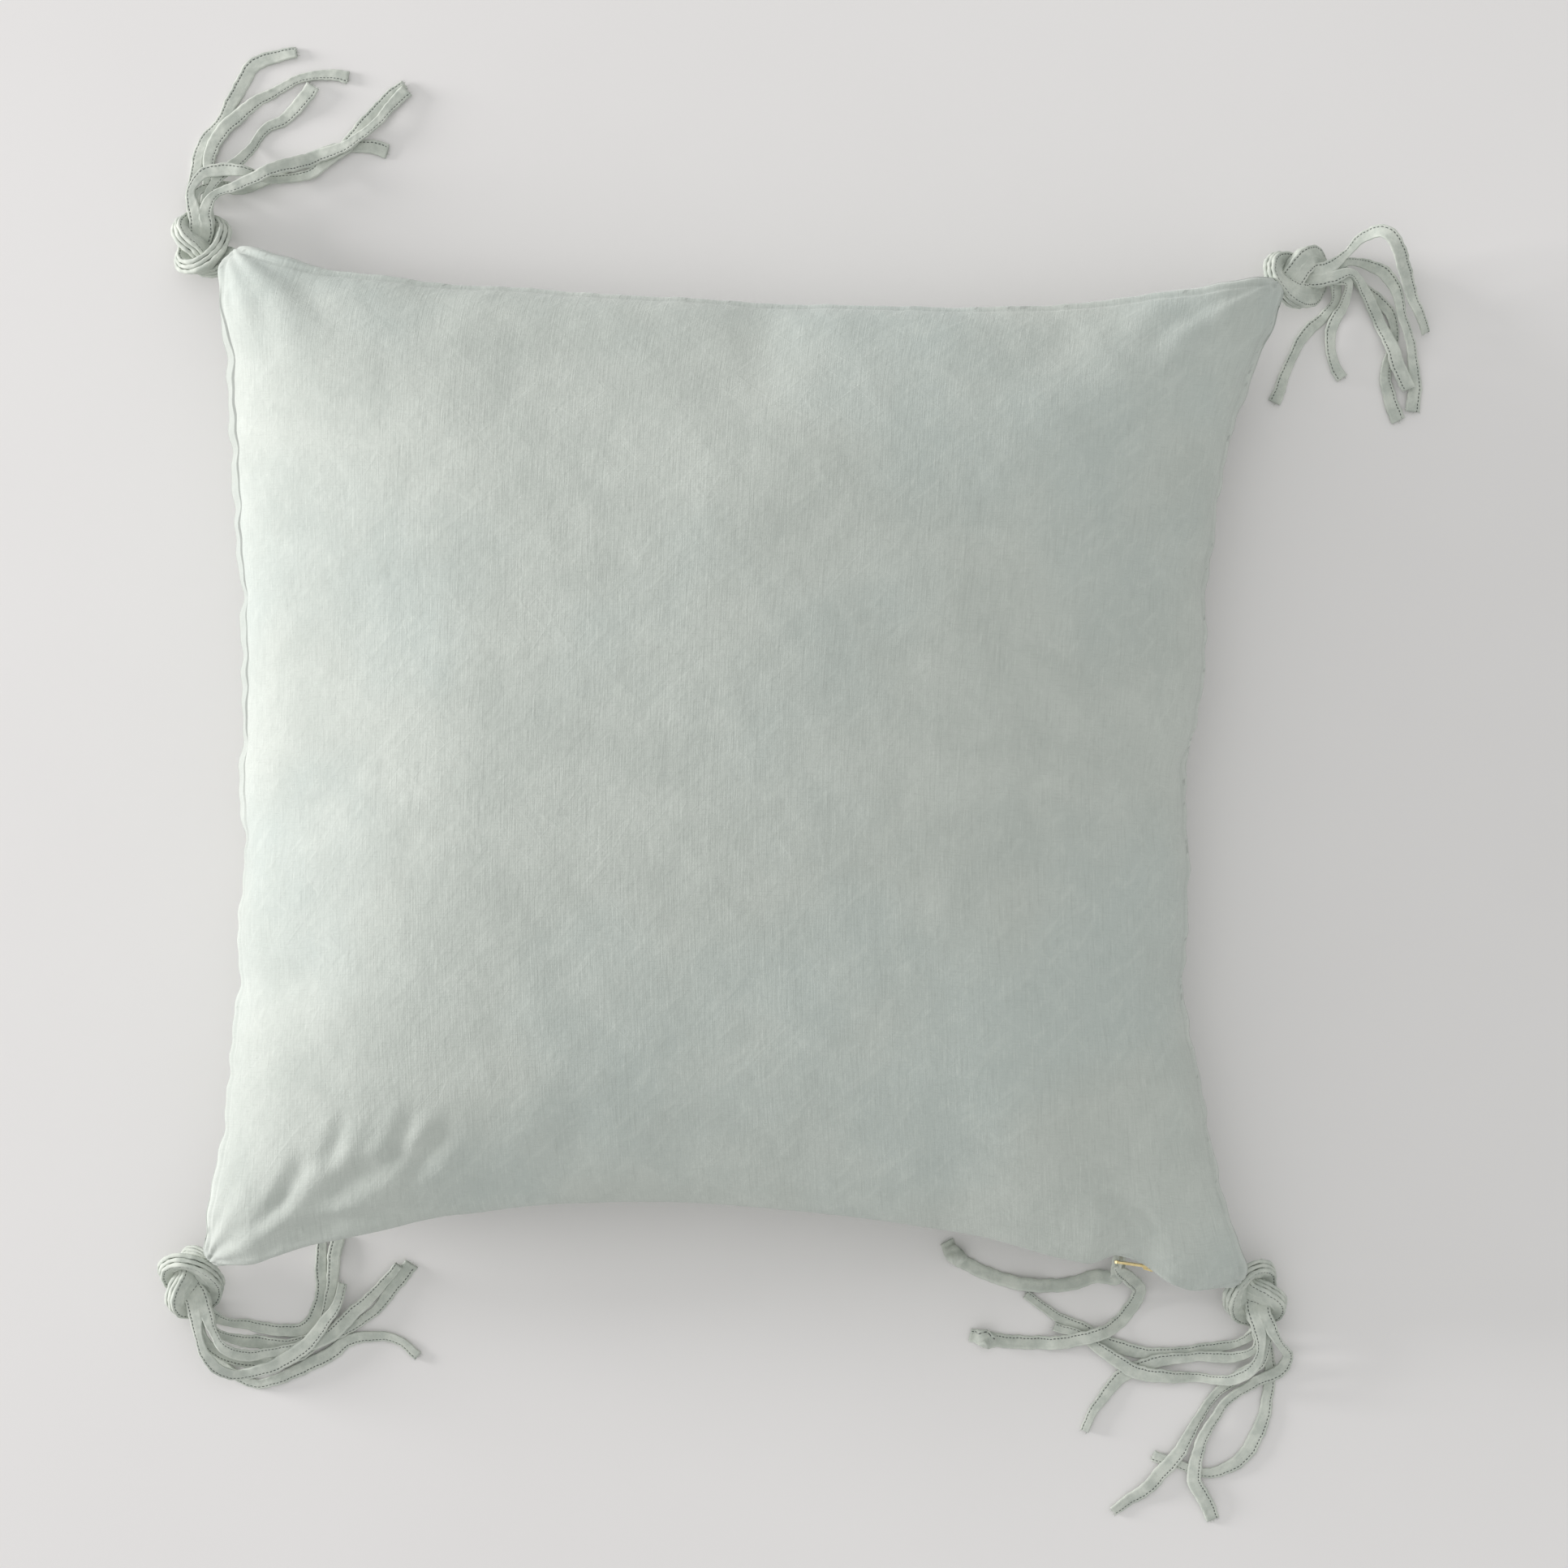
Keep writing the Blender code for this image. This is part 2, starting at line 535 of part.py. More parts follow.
def rest_heights(path, start, widths, laid, rise=0.0):
    """Heights for a tie dropped along a plan path over the ties already laid."""
    seg = np.linalg.norm(np.diff(path, axis=0), axis=1)
    s = np.r_[0, np.cumsum(seg)]
    need = np.full(len(path), TIE_THICK / 2 + 0.0003)
    for k in range(len(path) - 1):
        for t in np.linspace(0, 1, 5):
            q = path[k] * (1 - t) + path[k + 1] * t
            w = widths[k] * (1 - t) + widths[k + 1] * t
            for other in laid:
                near = np.linalg.norm(other[:, :2] - q, axis=1) < (other[:, 3] + w) / 2 + 0.0002
                if near.any():
                    h = other[near, 2].max() + TIE_THICK + GAP
                    need[k] = max(need[k], h)
                    need[k + 1] = max(need[k + 1], h)
    z = np.maximum(need, start - 0.75 * s)
    if rise:
        z = np.maximum(z, TIE_THICK + rise * np.sin(np.pi * np.clip(s / s[-1] * 1.15, 0, 1)) ** 1.5)
    z[0] = start
    for _ in range(2):
        for k in range(1, len(z)):
            z[k] = max(z[k], z[k - 1] - 0.8 * seg[k - 1])
        for k in range(len(z) - 2, 0, -1):
            z[k] = max(z[k], z[k + 1] - 0.8 * seg[k])
    return z


def fine_line(path, z, widths):
    rows = []
    for k in range(len(path) - 1):
        for t in np.linspace(0, 1, 7, endpoint=False):
            rows.append([*(path[k] * (1 - t) + path[k + 1] * t), z[k] * (1 - t) + z[k + 1] * t,
                         widths[k] * (1 - t) + widths[k + 1] * t])
    rows.append([*path[-1], z[-1], widths[-1]])
    return np.array(rows)


def flat_ring(p, side_dir, up_dir, w, t):
    """Six points round a flattened tube."""
    e = min(0.4 * t, 0.3 * w)
    return [tuple(p + side_dir * a + up_dir * b) for a, b in (
        (-w / 2, 0), (-w / 2 + e, t / 2), (w / 2 - e, t / 2), (w / 2, 0), (w / 2 - e, -t / 2),
        (-w / 2 + e, -t / 2))]


def build_ties():
    knot_step, tail_step = 0.0085, 0.0150
    piles = {}
    for corner, (_, _, _, _, walks) in CORNERS.items():
        line, sides, ups = bundle(corner, knot_step)
        base = corner_point(corner)
        laid = []
        for i, walk in enumerate(walks):
            col = 1 if i % 2 == 0 else -1
            row = i // 2 - 1
            off_side = col * (TIE_KNOT_WIDTH + GAP) / 2
            off_up = row * (TIE_THICK + GAP)
            shared = line + sides * off_side + ups * off_up
            name = f"tie_{corner}_{i + 1}"
            pts = [shared[-1][:2]] + [base + np.array(p) / 1000 for p in walk]
            path = curve_through(pts, tail_step)
            s = np.r_[0, np.cumsum(np.linalg.norm(np.diff(path, axis=0), axis=1))]
            widths = np.array([tie_width(v) for v in s])
            z = rest_heights(path, shared[-1][2], widths, laid, RISE.get(name[4:], 0.0))
            laid.append(fine_line(path, z, widths))
            rings = [flat_ring(shared[k], sides[k], ups[k], TIE_KNOT_WIDTH, TIE_THICK)
                     for k in range(len(line))]
            tail = np.column_stack([path, z])
            t2 = directions(path)
            for k in range(1, len(tail)):
                sd = np.array([-t2[k][1], t2[k][0], 0.0])
                rings.append(flat_ring(tail[k], sd, np.array([0, 0, 1.0]), widths[k], TIE_THICK))
            loft(name, rings, TIE)
        piles[corner] = laid
    return piles


def build_pull_tie(laid):
    """One strip through the slot of the pull, both ends knotted and lying on the floor."""
    phi = math.asin(ZIP_CLOSED_X / NEAR_RADIUS)
    a = math.radians(PULL_REST)
    reach = PULL_LENGTH - 0.0042
    lx, ly = -reach * math.cos(a), PIVOT_OUT - reach * math.sin(a)
    r = NEAR_RADIUS + ly
    hole = np.array([lx * math.cos(phi) + r * math.sin(phi),
                     NEAR_CENTRE - lx * math.sin(phi) + r * math.cos(phi), SEAM_Z])
    along = np.array([math.cos(phi + -a), -math.sin(phi + -a), 0.0])
    through = np.array([along[1], -along[0], 0.0])
    if through[1] > 0:
        through = -through
    base = corner_point("near_right")
    floor = TIE_THICK / 2 + 0.0003

    def walk(points):
        return [np.array([*(base + np.array(p) / 1000), floor]) for p in points]

    a_side, b_side = walk(PULL_TIE_A), walk(PULL_TIE_B)
    a_side[0][2], b_side[0][2] = 0.012, 0.010
    left, right = hole - through * 0.0040, hole + through * 0.0040
    left[2] -= 0.0022
    right[2] -= 0.0022
    drop = np.array([0, 0, 0.008])
    to_a = [left, left - through * 0.002 - drop, left * 0.5 + a_side[0] * 0.5] + a_side
    to_b = [right, right + through * 0.002 - drop, right * 0.5 + b_side[0] * 0.5] + b_side
    line = np.vstack([curve_through(to_a, 0.0085)[::-1], [hole - through * 0.0014, hole + through * 0.0014],
                      curve_through(to_b, 0.0085)])
    s = np.r_[0, np.cumsum(np.linalg.norm(np.diff(line, axis=0), axis=1))]
    mid = int(np.argmin(np.linalg.norm(line - hole, axis=1)))
    for k in range(len(line)):
        for other in laid:
            near = np.linalg.norm(other[:, :2] - line[k, :2], axis=1) < TIE_WIDTH + 0.003
            if near.any() and abs(s[k] - s[mid]) > 0.06:
                line[k, 2] = max(line[k, 2], other[near, 2].max() + TIE_THICK + GAP)
    for _ in range(2):
        for k in list(range(1, len(line))) + list(range(len(line) - 2, -1, -1)):
            for m in (k - 1, k + 1):
                if 0 <= m < len(line) and abs(s[k] - s[mid]) > 0.06:
                    line[k, 2] = max(line[k, 2], line[m, 2] - 0.8 * abs(s[m] - s[k]))
    t = directions(line)
    rings = []
    side_dir = None
    for k in range(len(line)):
        flat = np.cross((0, 0, 1.0), t[k])
        if side_dir is not None and np.dot(flat, side_dir) < 0:
            flat = -flat
        gone = abs(s[k] - s[mid])
        near = smooth((gone - 0.004) / 0.030)
        want = flat / max(np.linalg.norm(flat), 1e-6)
        level = along if np.dot(along, want) > 0 else -along
        side_dir = want * near + level * (1 - near)
        side_dir -= np.dot(side_dir, t[k]) * t[k]
        side_dir /= np.linalg.norm(side_dir)
        up = np.cross(t[k], side_dir)
        w = 0.0026 + (TIE_WIDTH - 0.0026) * smooth((gone - 0.003) / 0.022)
        th = 0.0017 + (TIE_THICK - 0.0017) * smooth(gone / 0.020)
        end = min(s[k], s[-1] - s[k])
        p = line[k].copy()
        if end < 0.022:
            swell = math.sin(math.pi * min(1.0, max(0.0, (end - 0.004) / 0.016)))
            w, th = w + 0.003 * swell, th + 0.0075 * swell
            p[2] += 0.5 * 0.0075 * swell
        rings.append(flat_ring(p, side_dir, up, w, th))
    loft("zip_pull_tie", rings, TIE)


build_cover()
build_insert()
build_zip()
build_pull(build_slider(zip_axis()))
PILES = build_ties()
build_pull_tie(PILES["near_right"])
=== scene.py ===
"""Looks for the square linen floor cushion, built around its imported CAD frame. Metres; floor at z = 0."""
import math

import bpy
import numpy as np
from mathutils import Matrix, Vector


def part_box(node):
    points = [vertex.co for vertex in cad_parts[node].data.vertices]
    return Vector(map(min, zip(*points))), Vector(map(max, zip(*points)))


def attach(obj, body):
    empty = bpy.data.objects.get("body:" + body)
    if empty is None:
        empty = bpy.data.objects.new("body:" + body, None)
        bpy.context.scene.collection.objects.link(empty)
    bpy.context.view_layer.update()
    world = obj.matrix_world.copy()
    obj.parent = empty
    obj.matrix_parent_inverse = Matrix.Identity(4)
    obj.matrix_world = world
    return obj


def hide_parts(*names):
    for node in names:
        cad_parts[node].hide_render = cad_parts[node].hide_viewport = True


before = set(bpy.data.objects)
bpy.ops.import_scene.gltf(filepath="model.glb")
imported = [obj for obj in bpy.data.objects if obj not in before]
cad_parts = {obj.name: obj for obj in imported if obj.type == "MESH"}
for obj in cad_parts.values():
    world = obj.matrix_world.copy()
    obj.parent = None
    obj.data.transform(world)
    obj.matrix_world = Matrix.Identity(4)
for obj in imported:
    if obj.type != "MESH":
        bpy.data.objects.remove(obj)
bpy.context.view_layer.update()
BODY_CUSHION, BODY_PULL = "cushion", "pull"

# ---- sizes repeated from part.py ----
HALF_X_FAR, HALF_X_NEAR, HALF_Y = 0.377, 0.367, 0.3565
BOW_FAR, BOW_NEAR, BOW_LEFT, BOW_RIGHT = 0.033, 0.057, 0.025, 0.055
THICK, SEAM_Z, CORNER_Z = 0.185, 0.058, 0.027
GAP = 0.0003
ZIP_CLOSED_X, ZIP_OPEN_X = 0.303, -0.300
ZIP_SLIT, TEETH_HALF, TAPE, CHAIN = 0.0053, 0.0029, 0.0006, 0.0018
PULL_LENGTH, PULL_REST = 0.0245, 8.0
TIE_WIDTH, TIE_THICK, TIE_KNOT_WIDTH, KNOT = 0.0100, 0.0022, 0.0044, 0.0123
BLUNT, BLUNT_REACH = 0.014, 0.030
NEAR_RADIUS = (HALF_X_NEAR ** 2 + BOW_NEAR ** 2) / (2 * BOW_NEAR)
NEAR_CENTRE = -HALF_Y + BOW_NEAR - NEAR_RADIUS
PIVOT_OUT = CHAIN - 0.0030 - 0.0024

KNOT_PATH = [(-1.30, 0.00, -0.20), (-0.45, 0.20, 0.30), (0.35, 0.95, 0.45), (1.10, 1.00, -0.25),
             (1.25, 0.20, -0.85), (0.70, -0.65, -0.65), (-0.05, -0.85, 0.10), (-0.85, -0.55, 0.80),
             (-1.35, 0.40, 0.80), (-1.00, 1.15, 0.10), (-0.15, 0.95, -0.50), (0.50, 0.20, -0.15),
             (1.30, 0.00, 0.20)]
CORNERS = {
    "far_left": ((-1, 1), (-16, 14), 100, 0.0188, [
        [(-31, 50), (-28, 66), (-23, 89), (-9, 108), (0, 126), (13, 146), (26, 153), (43, 157)],
        [(-19, 52), (-18, 67), (-15, 88), (2, 110), (21, 123), (46, 137), (66, 142), (81, 140)],
        [(-23, 50), (-14, 56), (1, 57), (20, 64), (48, 77), (69, 87), (91, 91), (111, 87)],
        [(-13, 54), (-2, 68), (11, 84), (19, 98), (32, 105), (44, 115), (55, 133)],
        [(-27, 50), (-20, 62), (-8, 67), (12, 66), (33, 63), (55, 68), (67, 78), (87, 97), (104, 118), (122, 136)],
        [(-12, 47), (6, 55), (33, 69), (54, 77), (84, 91), (105, 110), (124, 131)]]),
    "far_right": ((1, 1), (18, 9), 15, 0.0188, [
        [(53, 19), (69, 6), (86, -10), (90, -27), (86, -50), (87, -67), (95, -88)],
        [(47, 6), (44, -8), (32, -20), (22, -34), (13, -54), (4, -77)],
        [(56, 24), (72, 22), (85, 11), (93, -11), (100, -29), (105, -55), (105, -81)],
        [(52, 11), (52, -6), (45, -20), (43, -34), (47, -46), (54, -58)],
        [(52, 30), (66, 44), (78, 40), (88, 24), (99, 2), (112, -24)],
        [(55, 15), (68, 2), (76, -12), (86, -30), (94, -50), (100, -66)]]),
    "near_left": ((-1, -1), (-13, -21), -75, 0.0188, [
        [(6, -50), (22, -53), (41, -56), (60, -56), (72, -48), (77, -30), (75, -8), (74, 14)],
        [(-8, -62), (7, -85), (33, -97), (49, -91), (64, -82), (78, -77), (94, -65), (118, -59), (134, -62),
         (148, -72)],
        [(4, -57), (16, -63), (32, -66), (54, -66), (72, -59), (81, -37), (85, -13), (87, 14)],
        [(-5, -62), (6, -74), (24, -79), (58, -74), (84, -60), (106, -48), (127, -26), (141, -6)],
        [(4, -60), (12, -69), (26, -74), (44, -72), (78, -61), (99, -44), (120, -22), (131, -6)],
        [(-7, -64), (2, -80), (18, -88), (38, -84), (60, -72), (78, -51), (88, -37), (93, -21)]]),
    "near_right": ((1, -1), (13, -10), -65, 0.0188, [
        [(28, -42), (31, -60), (30, -86), (24, -113), (7, -134), (-14, -141), (-37, -135), (-52, -130)],
        [(14, -41), (2, -48), (-24, -53), (-52, -55), (-83, -51), (-106, -40), (-130, -27), (-147, -15)],
        [(26, -42), (22, -59), (-2, -79), (-17, -98), (-32, -123), (-55, -153), (-80, -171)],
        [(19, -45), (10, -54), (-7, -57), (-33, -57), (-62, -65), (-79, -77), (-94, -95), (-103, -113)],
        [(32, -40), (42, -51), (38, -66), (17, -76), (-2, -90), (-15, -114), (-22, -141), (-17, -156), (-7, -175)],
        [(21, -48), (14, -63), (-4, -73), (-33, -72), (-62, -69), (-83, -60), (-106, -45), (-126, -37)]]),
}
KNOT_HAND = {"near_left": -1}
RISE = {"far_right_5": 0.040, "far_right_3": 0.014}
PULL_TIE_A = [(-84, -1), (-96, -1), (-119, -8), (-150, -8), (-177, -1), (-198, 10), (-206, 21)]
PULL_TIE_B = [(-66, -9), (-70, -22), (-83, -37), (-103, -45), (-129, -50), (-162, -50), (-187, -46)]

# ---- camera ----
cam_data = bpy.data.cameras.new("camera")
cam = bpy.data.objects.new("camera", cam_data)
bpy.context.scene.collection.objects.link(cam)
CAM_HEIGHT = 2.44
cam.location = (0.0341, -0.0071, CAM_HEIGHT)
cam.rotation_euler = (0, 0, math.radians(1.6))
cam_data.sensor_width = 36
cam_data.lens = 18 * CAM_HEIGHT / 0.569
bpy.context.scene.camera = cam


# ---- small helpers ----
def smooth(t):
    t = np.clip(t, 0.0, 1.0)
    return t * t * (3 - 2 * t)


def make(name, verts, faces, mat, shade=True):
    mesh = bpy.data.meshes.new(name)
    mesh.from_pydata([tuple(map(float, v)) for v in verts], [], [tuple(f) for f in faces])
    mesh.materials.append(mat)
    if shade:
        mesh.polygons.foreach_set("use_smooth", [True] * len(mesh.polygons))
    mesh.update()
    ob = bpy.data.objects.new(name, mesh)
    bpy.context.scene.collection.objects.link(ob)
    return ob


def point_vectors(ob, name, values):
    """Store a vector for every vertex, for the materials to read."""
    att = ob.data.attributes.new(name, "FLOAT_VECTOR", "POINT")
    att.data.foreach_set("vector", np.asarray(values, np.float32).ravel())


def declare(ob, body, slot, *nodes):
    """Say what a piece rides on and which CAD nodes it stands for, whose own meshes are hidden; the slot argument is
    not used.
    """
    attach(ob, body)
    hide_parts(*nodes)


def arc_length(points):
    """The distance of each point from the first, along the line."""
    return np.r_[0, np.cumsum(np.linalg.norm(np.diff(points, axis=0), axis=1))]


def grid_faces(index, upward):
    """The faces of a grid of vertex numbers."""
    faces = []
    for one, two in zip(index, index[1:]):
        for i in range(len(one) - 1):
            quad = (one[i], one[i + 1], two[i + 1], two[i])
            faces.append(quad if upward else quad[::-1])
    return faces


def ring_faces(one, two, forward):
    """The faces between two closed rings of vertex numbers."""
    faces = []
    for i in range(len(one)):
        j = (i + 1) % len(one)
        quad = (one[i], two[i], two[j], one[j])
        faces.append(quad if forward else quad[::-1])
    return faces


def waves(points, count, longest, shortest, seed, lean=None):
    """Smooth noise of about -1..1: a sum of seeded plane waves over plan points."""
    rng = np.random.default_rng(seed)
    total = np.zeros(points.shape[:-1])
    norm = 0.0
    for _ in range(count):
        length = shortest * (longest / shortest) ** rng.random()
        angle = rng.random() * math.pi if lean is None else math.radians(lean + rng.normal(0, 22))
        k = 2 * math.pi / length
        amp = (length / longest) ** 0.5
        total += amp * np.cos(k * (points[..., 0] * math.cos(angle) + points[..., 1] * math.sin(angle))
                              + rng.random() * 2 * math.pi)
        norm += amp * amp / 2
    return total / math.sqrt(norm) / 2


# ---- node helpers ----
class Nodes:
    def __init__(self, name):
        self.mat = bpy.data.materials.new(name)
        self.mat.use_nodes = True
        self.tree = self.mat.node_tree
        self.bsdf = self.tree.nodes["Principled BSDF"]

    def add(self, kind, values, **settings):
        """A new node with its settings, and a value or a socket put on each of the inputs named."""
        node = self.tree.nodes.new(kind)
        for key, value in settings.items():
            setattr(node, key, value)
        for key, value in values.items():
            self.put(node.inputs[key], value)
        return node

    def put(self, socket, value):
        if isinstance(value, bpy.types.NodeSocket):
            self.tree.links.new(value, socket)
        else:
            socket.default_value = value

    def attribute(self, name):
        return self.add("ShaderNodeAttribute", {}, attribute_name=name).outputs["Vector"]

    def object_coords(self):
        return self.add("ShaderNodeTexCoord", {}).outputs["Object"]

    def scaled(self, vector, scale, rotation=(0, 0, 0)):
        values = {"Vector": vector, "Scale": scale, "Rotation": rotation}
        return self.add("ShaderNodeMapping", values).outputs["Vector"]

    def turned(self, vector, degrees, scale):
        """Coordinates turned in the cloth's plane first and stretched afterwards."""
        return self.scaled(self.scaled(vector, (1, 1, 1), (0, 0, math.radians(degrees))), scale)

    def noise(self, vector, scale=1.0, detail=2.0, roughness=0.5, distortion=0.0):
        values = {"Vector": vector, "Scale": scale, "Detail": detail, "Roughness": roughness,
                  "Distortion": distortion}
        return self.add("ShaderNodeTexNoise", values).outputs["Fac"]

    def math(self, operation, a, b=0.0):
        return self.add("ShaderNodeMath", {0: a, 1: b, 2: 0.0}, operation=operation).outputs[0]

    def times(self, a, b):
        return self.math("MULTIPLY", a, b)

    def span(self, value, lo, hi, to_lo=0.0, to_hi=1.0):
        values = {"Value": value, "From Min": lo, "From Max": hi, "To Min": to_lo, "To Max": to_hi}
        return self.add("ShaderNodeMapRange", values, interpolation_type="SMOOTHSTEP").outputs["Result"]

    def band(self, value, start, full, fading, end):
        """1 between full and fading, 0 before start and after end."""
        return self.times(self.span(value, start, full), self.span(value, fading, end, 1.0, 0.0))

    def mix(self, factor, a, b):
        a, b = ((*v, 1.0) if isinstance(v, tuple) else v for v in (a, b))
        return self.add("ShaderNodeMix", {0: factor, 6: a, 7: b}, data_type="RGBA").outputs[2]

    def tint(self, base, *layers):
        """Lay colours over a base colour, one by one, each given as (factor, colour)."""
        for factor, colour in layers:
            base = self.mix(factor, base, colour)
        return base

    def xyz(self, vector):
        return self.add("ShaderNodeSeparateXYZ", {0: vector}).outputs

    def bump(self, height, strength, distance, normal=None):
        values = {"Strength": strength, "Distance": distance, "Height": height}
        if normal is not None:
            values["Normal"] = normal
        return self.add("ShaderNodeBump", values).outputs["Normal"]

    def finish(self, colour, normal=None, **values):
        """Put the colour, the normal and the other values on the shader."""
        values["Base_Color"] = colour
        if normal is not None:
            values["Normal"] = normal
        for key, value in values.items():
            self.put(self.bsdf.inputs[key.replace("_", " ")], value)
        return self.mat


STITCH = 0.0026                     # from one stitch to the next
# painted shade in the stitches' holes
STITCH_HOLE_SHADE = (0.060, 0.070, 0.066)      # the shade of the stitches' holes


def scaled(colour, factor):
    return tuple(min(1.0, factor * c) for c in colour)


def linen_material(name, light, dark, blue):
    """Washed slub linen: yarns along the cloth's length, dye mottling, set creases, pale worn edges and painted shade
    along the seams.
    """
    n = Nodes(name)
    cloth = n.attribute("weave")
    place = n.object_coords()
    slub = n.noise(n.scaled(cloth, (560, 34, 1)), 1.0, 3.0, 0.65)
    slub_b = n.noise(n.scaled(cloth, (1150, 60, 1)), 1.0, 2.0, 0.6)
    weft = n.noise(n.scaled(cloth, (90, 1100, 1)), 1.0, 2.0, 0.5)
    patch = n.noise(n.scaled(place, (1, 1, 1)), 16.0, 4.0, 0.6, 0.4)
    cloud = n.noise(n.scaled(place, (1, 1, 1), (0.3, 0.2, 0.5)), 5.0, 3.0, 0.5)
    fleck = n.noise(n.scaled(cloth, (900, 700, 1)), 1.0, 2.0, 0.6)
    # wash marks: short soft strokes along two diagonals, and a few sharp set creases
    stroke = n.noise(n.turned(cloth, 42, (150, 34, 1)), 1.0, 3.0, 0.6, 0.3)
    stroke_b = n.noise(n.turned(cloth, -50, (130, 38, 1)), 1.0, 3.0, 0.6, 0.3)
    lines = []
    for degrees, scale, width in ((38, (34, 5, 1), 0.014), (-47, (30, 6, 1), 0.012)):
        crease = n.noise(n.turned(cloth, degrees, scale), 1.0, 1.0, 0.5, 0.25)
        lines.append(n.span(n.math("ABSOLUTE", n.math("SUBTRACT", crease, 0.5)), 0.0, width, 1.0, 0.0))
    lines = n.times(n.math("MAXIMUM", *lines), n.span(patch, 0.46, 0.62))
    # the third and fourth colours here are painted shade, for the seam's dark fold line and the upper left's rolled
    # edge
    pale, deep, shadow, flange_shade = scaled(light, 1.22), scaled(dark, 0.72), scaled(dark, 0.42), scaled(dark, 0.80)
    x, y, edge = n.xyz(cloth)       # edge: distance to the nearest seam
    ridge = n.band(edge, 0.0026, 0.0045, 0.0050, 0.0075)
    # painted shade in the hollow inside the seam's ridge
    groove_shade = n.band(edge, 0.0066, 0.0078, 0.0084, 0.0100)
    # painted shade: a dark line along the seam where its edge is rolled up, at the upper left and in places elsewhere
    upper_left = n.times(n.span(x, -0.372, -0.366, 1.0, 0.0), n.band(y, -0.10, 0.02, 0.335, 0.350))
    seam_fold_shade = n.band(edge, 0.0046, 0.0056, 0.0066, 0.0078)
    shows = n.math("MAXIMUM", n.times(upper_left, 0.80), n.span(stroke, 0.56, 0.66, 0.0, 0.45))
    tone = n.tint(
        dark,
        (n.span(patch, 0.32, 0.68), light),
        (n.span(cloud, 0.45, 0.70, 0.0, 0.60), blue),
        (n.span(slub, 0.50, 0.72, 0.0, 0.24), deep),
        (n.span(slub, 0.40, 0.27, 0.0, 0.30), pale),
        (n.span(slub_b, 0.56, 0.72, 0.0, 0.34), pale),
        (n.span(weft, 0.50, 0.74, 0.0, 0.17), deep),
        (n.span(fleck, 0.58, 0.76, 0.0, 0.24), pale),
        (n.times(n.span(stroke, 0.50, 0.72), n.span(cloud, 0.35, 0.60, 0.06, 0.20)), pale),
        (n.times(n.span(stroke_b, 0.52, 0.74), 0.11), pale),
        (n.times(lines, 0.12), pale),
        (n.span(edge, 0.0, 0.0045, 0.34, 0.0), pale),
        (n.times(ridge, n.span(patch, 0.40, 0.62, 0.05, 0.30)), pale),
        # painted shade in the groove inside the seam's ridge
        (n.times(groove_shade, 0.12), deep),
        # painted shade along the rolled-up seam
        (n.times(seam_fold_shade, shows), shadow),
        # painted shade on the upper left's rolled seam edge, which lies flat and gets less light
        (n.times(upper_left, n.span(edge, 0.0040, 0.0056, 0.50, 0.0)), flange_shade))
    height = n.math("ADD", n.times(slub, 0.50), n.times(slub_b, 0.40))
    height = n.math("ADD", height, n.times(weft, 0.40))
    rumple = n.noise(n.scaled(cloth, (60, 46, 1), (0, 0, 0.5)), 1.0, 3.0, 0.55, 0.7)
    normal = n.bump(height, 0.60, 0.0007)
    normal = n.bump(lines, 0.16, 0.0004, normal)
    normal = n.bump(n.math("ADD", stroke, stroke_b), 0.26, 0.0014, normal)
    normal = n.bump(rumple, 0.14, 0.0030, normal)
    return n.finish(tone, normal, Roughness=n.span(fleck, 0.3, 0.7, 0.84, 0.97), Specular_IOR_Level=0.24,
                    Sheen_Weight=0.22, Sheen_Roughness=0.50)


def tie_material(name, light, dark):
    """Stitched linen tube: lengthwise yarns, a row of stitches near one edge with painted shade in their holes, and a
    paler rolled edge.
    """
    n = Nodes(name)
    cloth = n.attribute("weave")
    along, across, upper = n.xyz(cloth)
    yarn = n.noise(n.scaled(cloth, (60, 9.0, 1)), 1.0, 3.0, 0.6)
    fine = n.noise(n.scaled(cloth, (800, 14, 1)), 1.0, 2.0, 0.6)
    cross = n.noise(n.scaled(cloth, (1700, 3.0, 1)), 1.0, 1.0, 0.5)
    patch = n.noise(n.object_coords(), 75.0, 4.0, 0.65)
    rolled = n.band(across, -1.0, -0.86, -0.80, -0.60)
    row = n.times(n.band(across, 0.50, 0.55, 0.64, 0.69), n.span(upper, 0.3, 0.6))
    beat = n.math("FRACT", n.math("DIVIDE", along, STITCH))
    stitch = n.times(row, n.band(beat, 0.06, 0.16, 0.62, 0.72))
    tone = n.tint(
        dark,
        (n.span(patch, 0.36, 0.64), light),
        (n.span(yarn, 0.46, 0.74, 0.0, 0.14), scaled(dark, 0.70)),
        (n.span(fine, 0.55, 0.75, 0.0, 0.25), scaled(light, 1.22)),
        (n.times(rolled, 0.22), scaled(light, 1.25)),
        (n.times(row, 0.12), scaled(dark, 0.6)),
        # painted shade in the stitches' holes
        (n.times(stitch, 0.90), STITCH_HOLE_SHADE))
    height = n.math("ADD", n.times(yarn, 0.4), n.times(cross, 0.5))
    normal = n.bump(height, 0.45, 0.0004)
    normal = n.bump(n.math("SUBTRACT", 1.0, stitch), 0.5, 0.0003, normal)
    return n.finish(tone, normal, Roughness=0.92, Specular_IOR_Level=0.22, Sheen_Weight=0.10)


def brass_material():
    n = Nodes("polished_brass")
    place = n.object_coords()
    smear = n.noise(place, 260.0, 3.0, 0.6)
    scratch = n.noise(n.scaled(place, (4000, 300, 900), (0.2, 0.4, 0.3)), 1.0, 2.0, 0.5)
    tone = n.mix(n.span(smear, 0.35, 0.7), (0.90, 0.76, 0.42), (0.78, 0.62, 0.29))
    return n.finish(tone, n.bump(scratch, 0.12, 0.0001), Metallic=1.0, Roughness=n.span(smear, 0.3, 0.7, 0.20, 0.36))


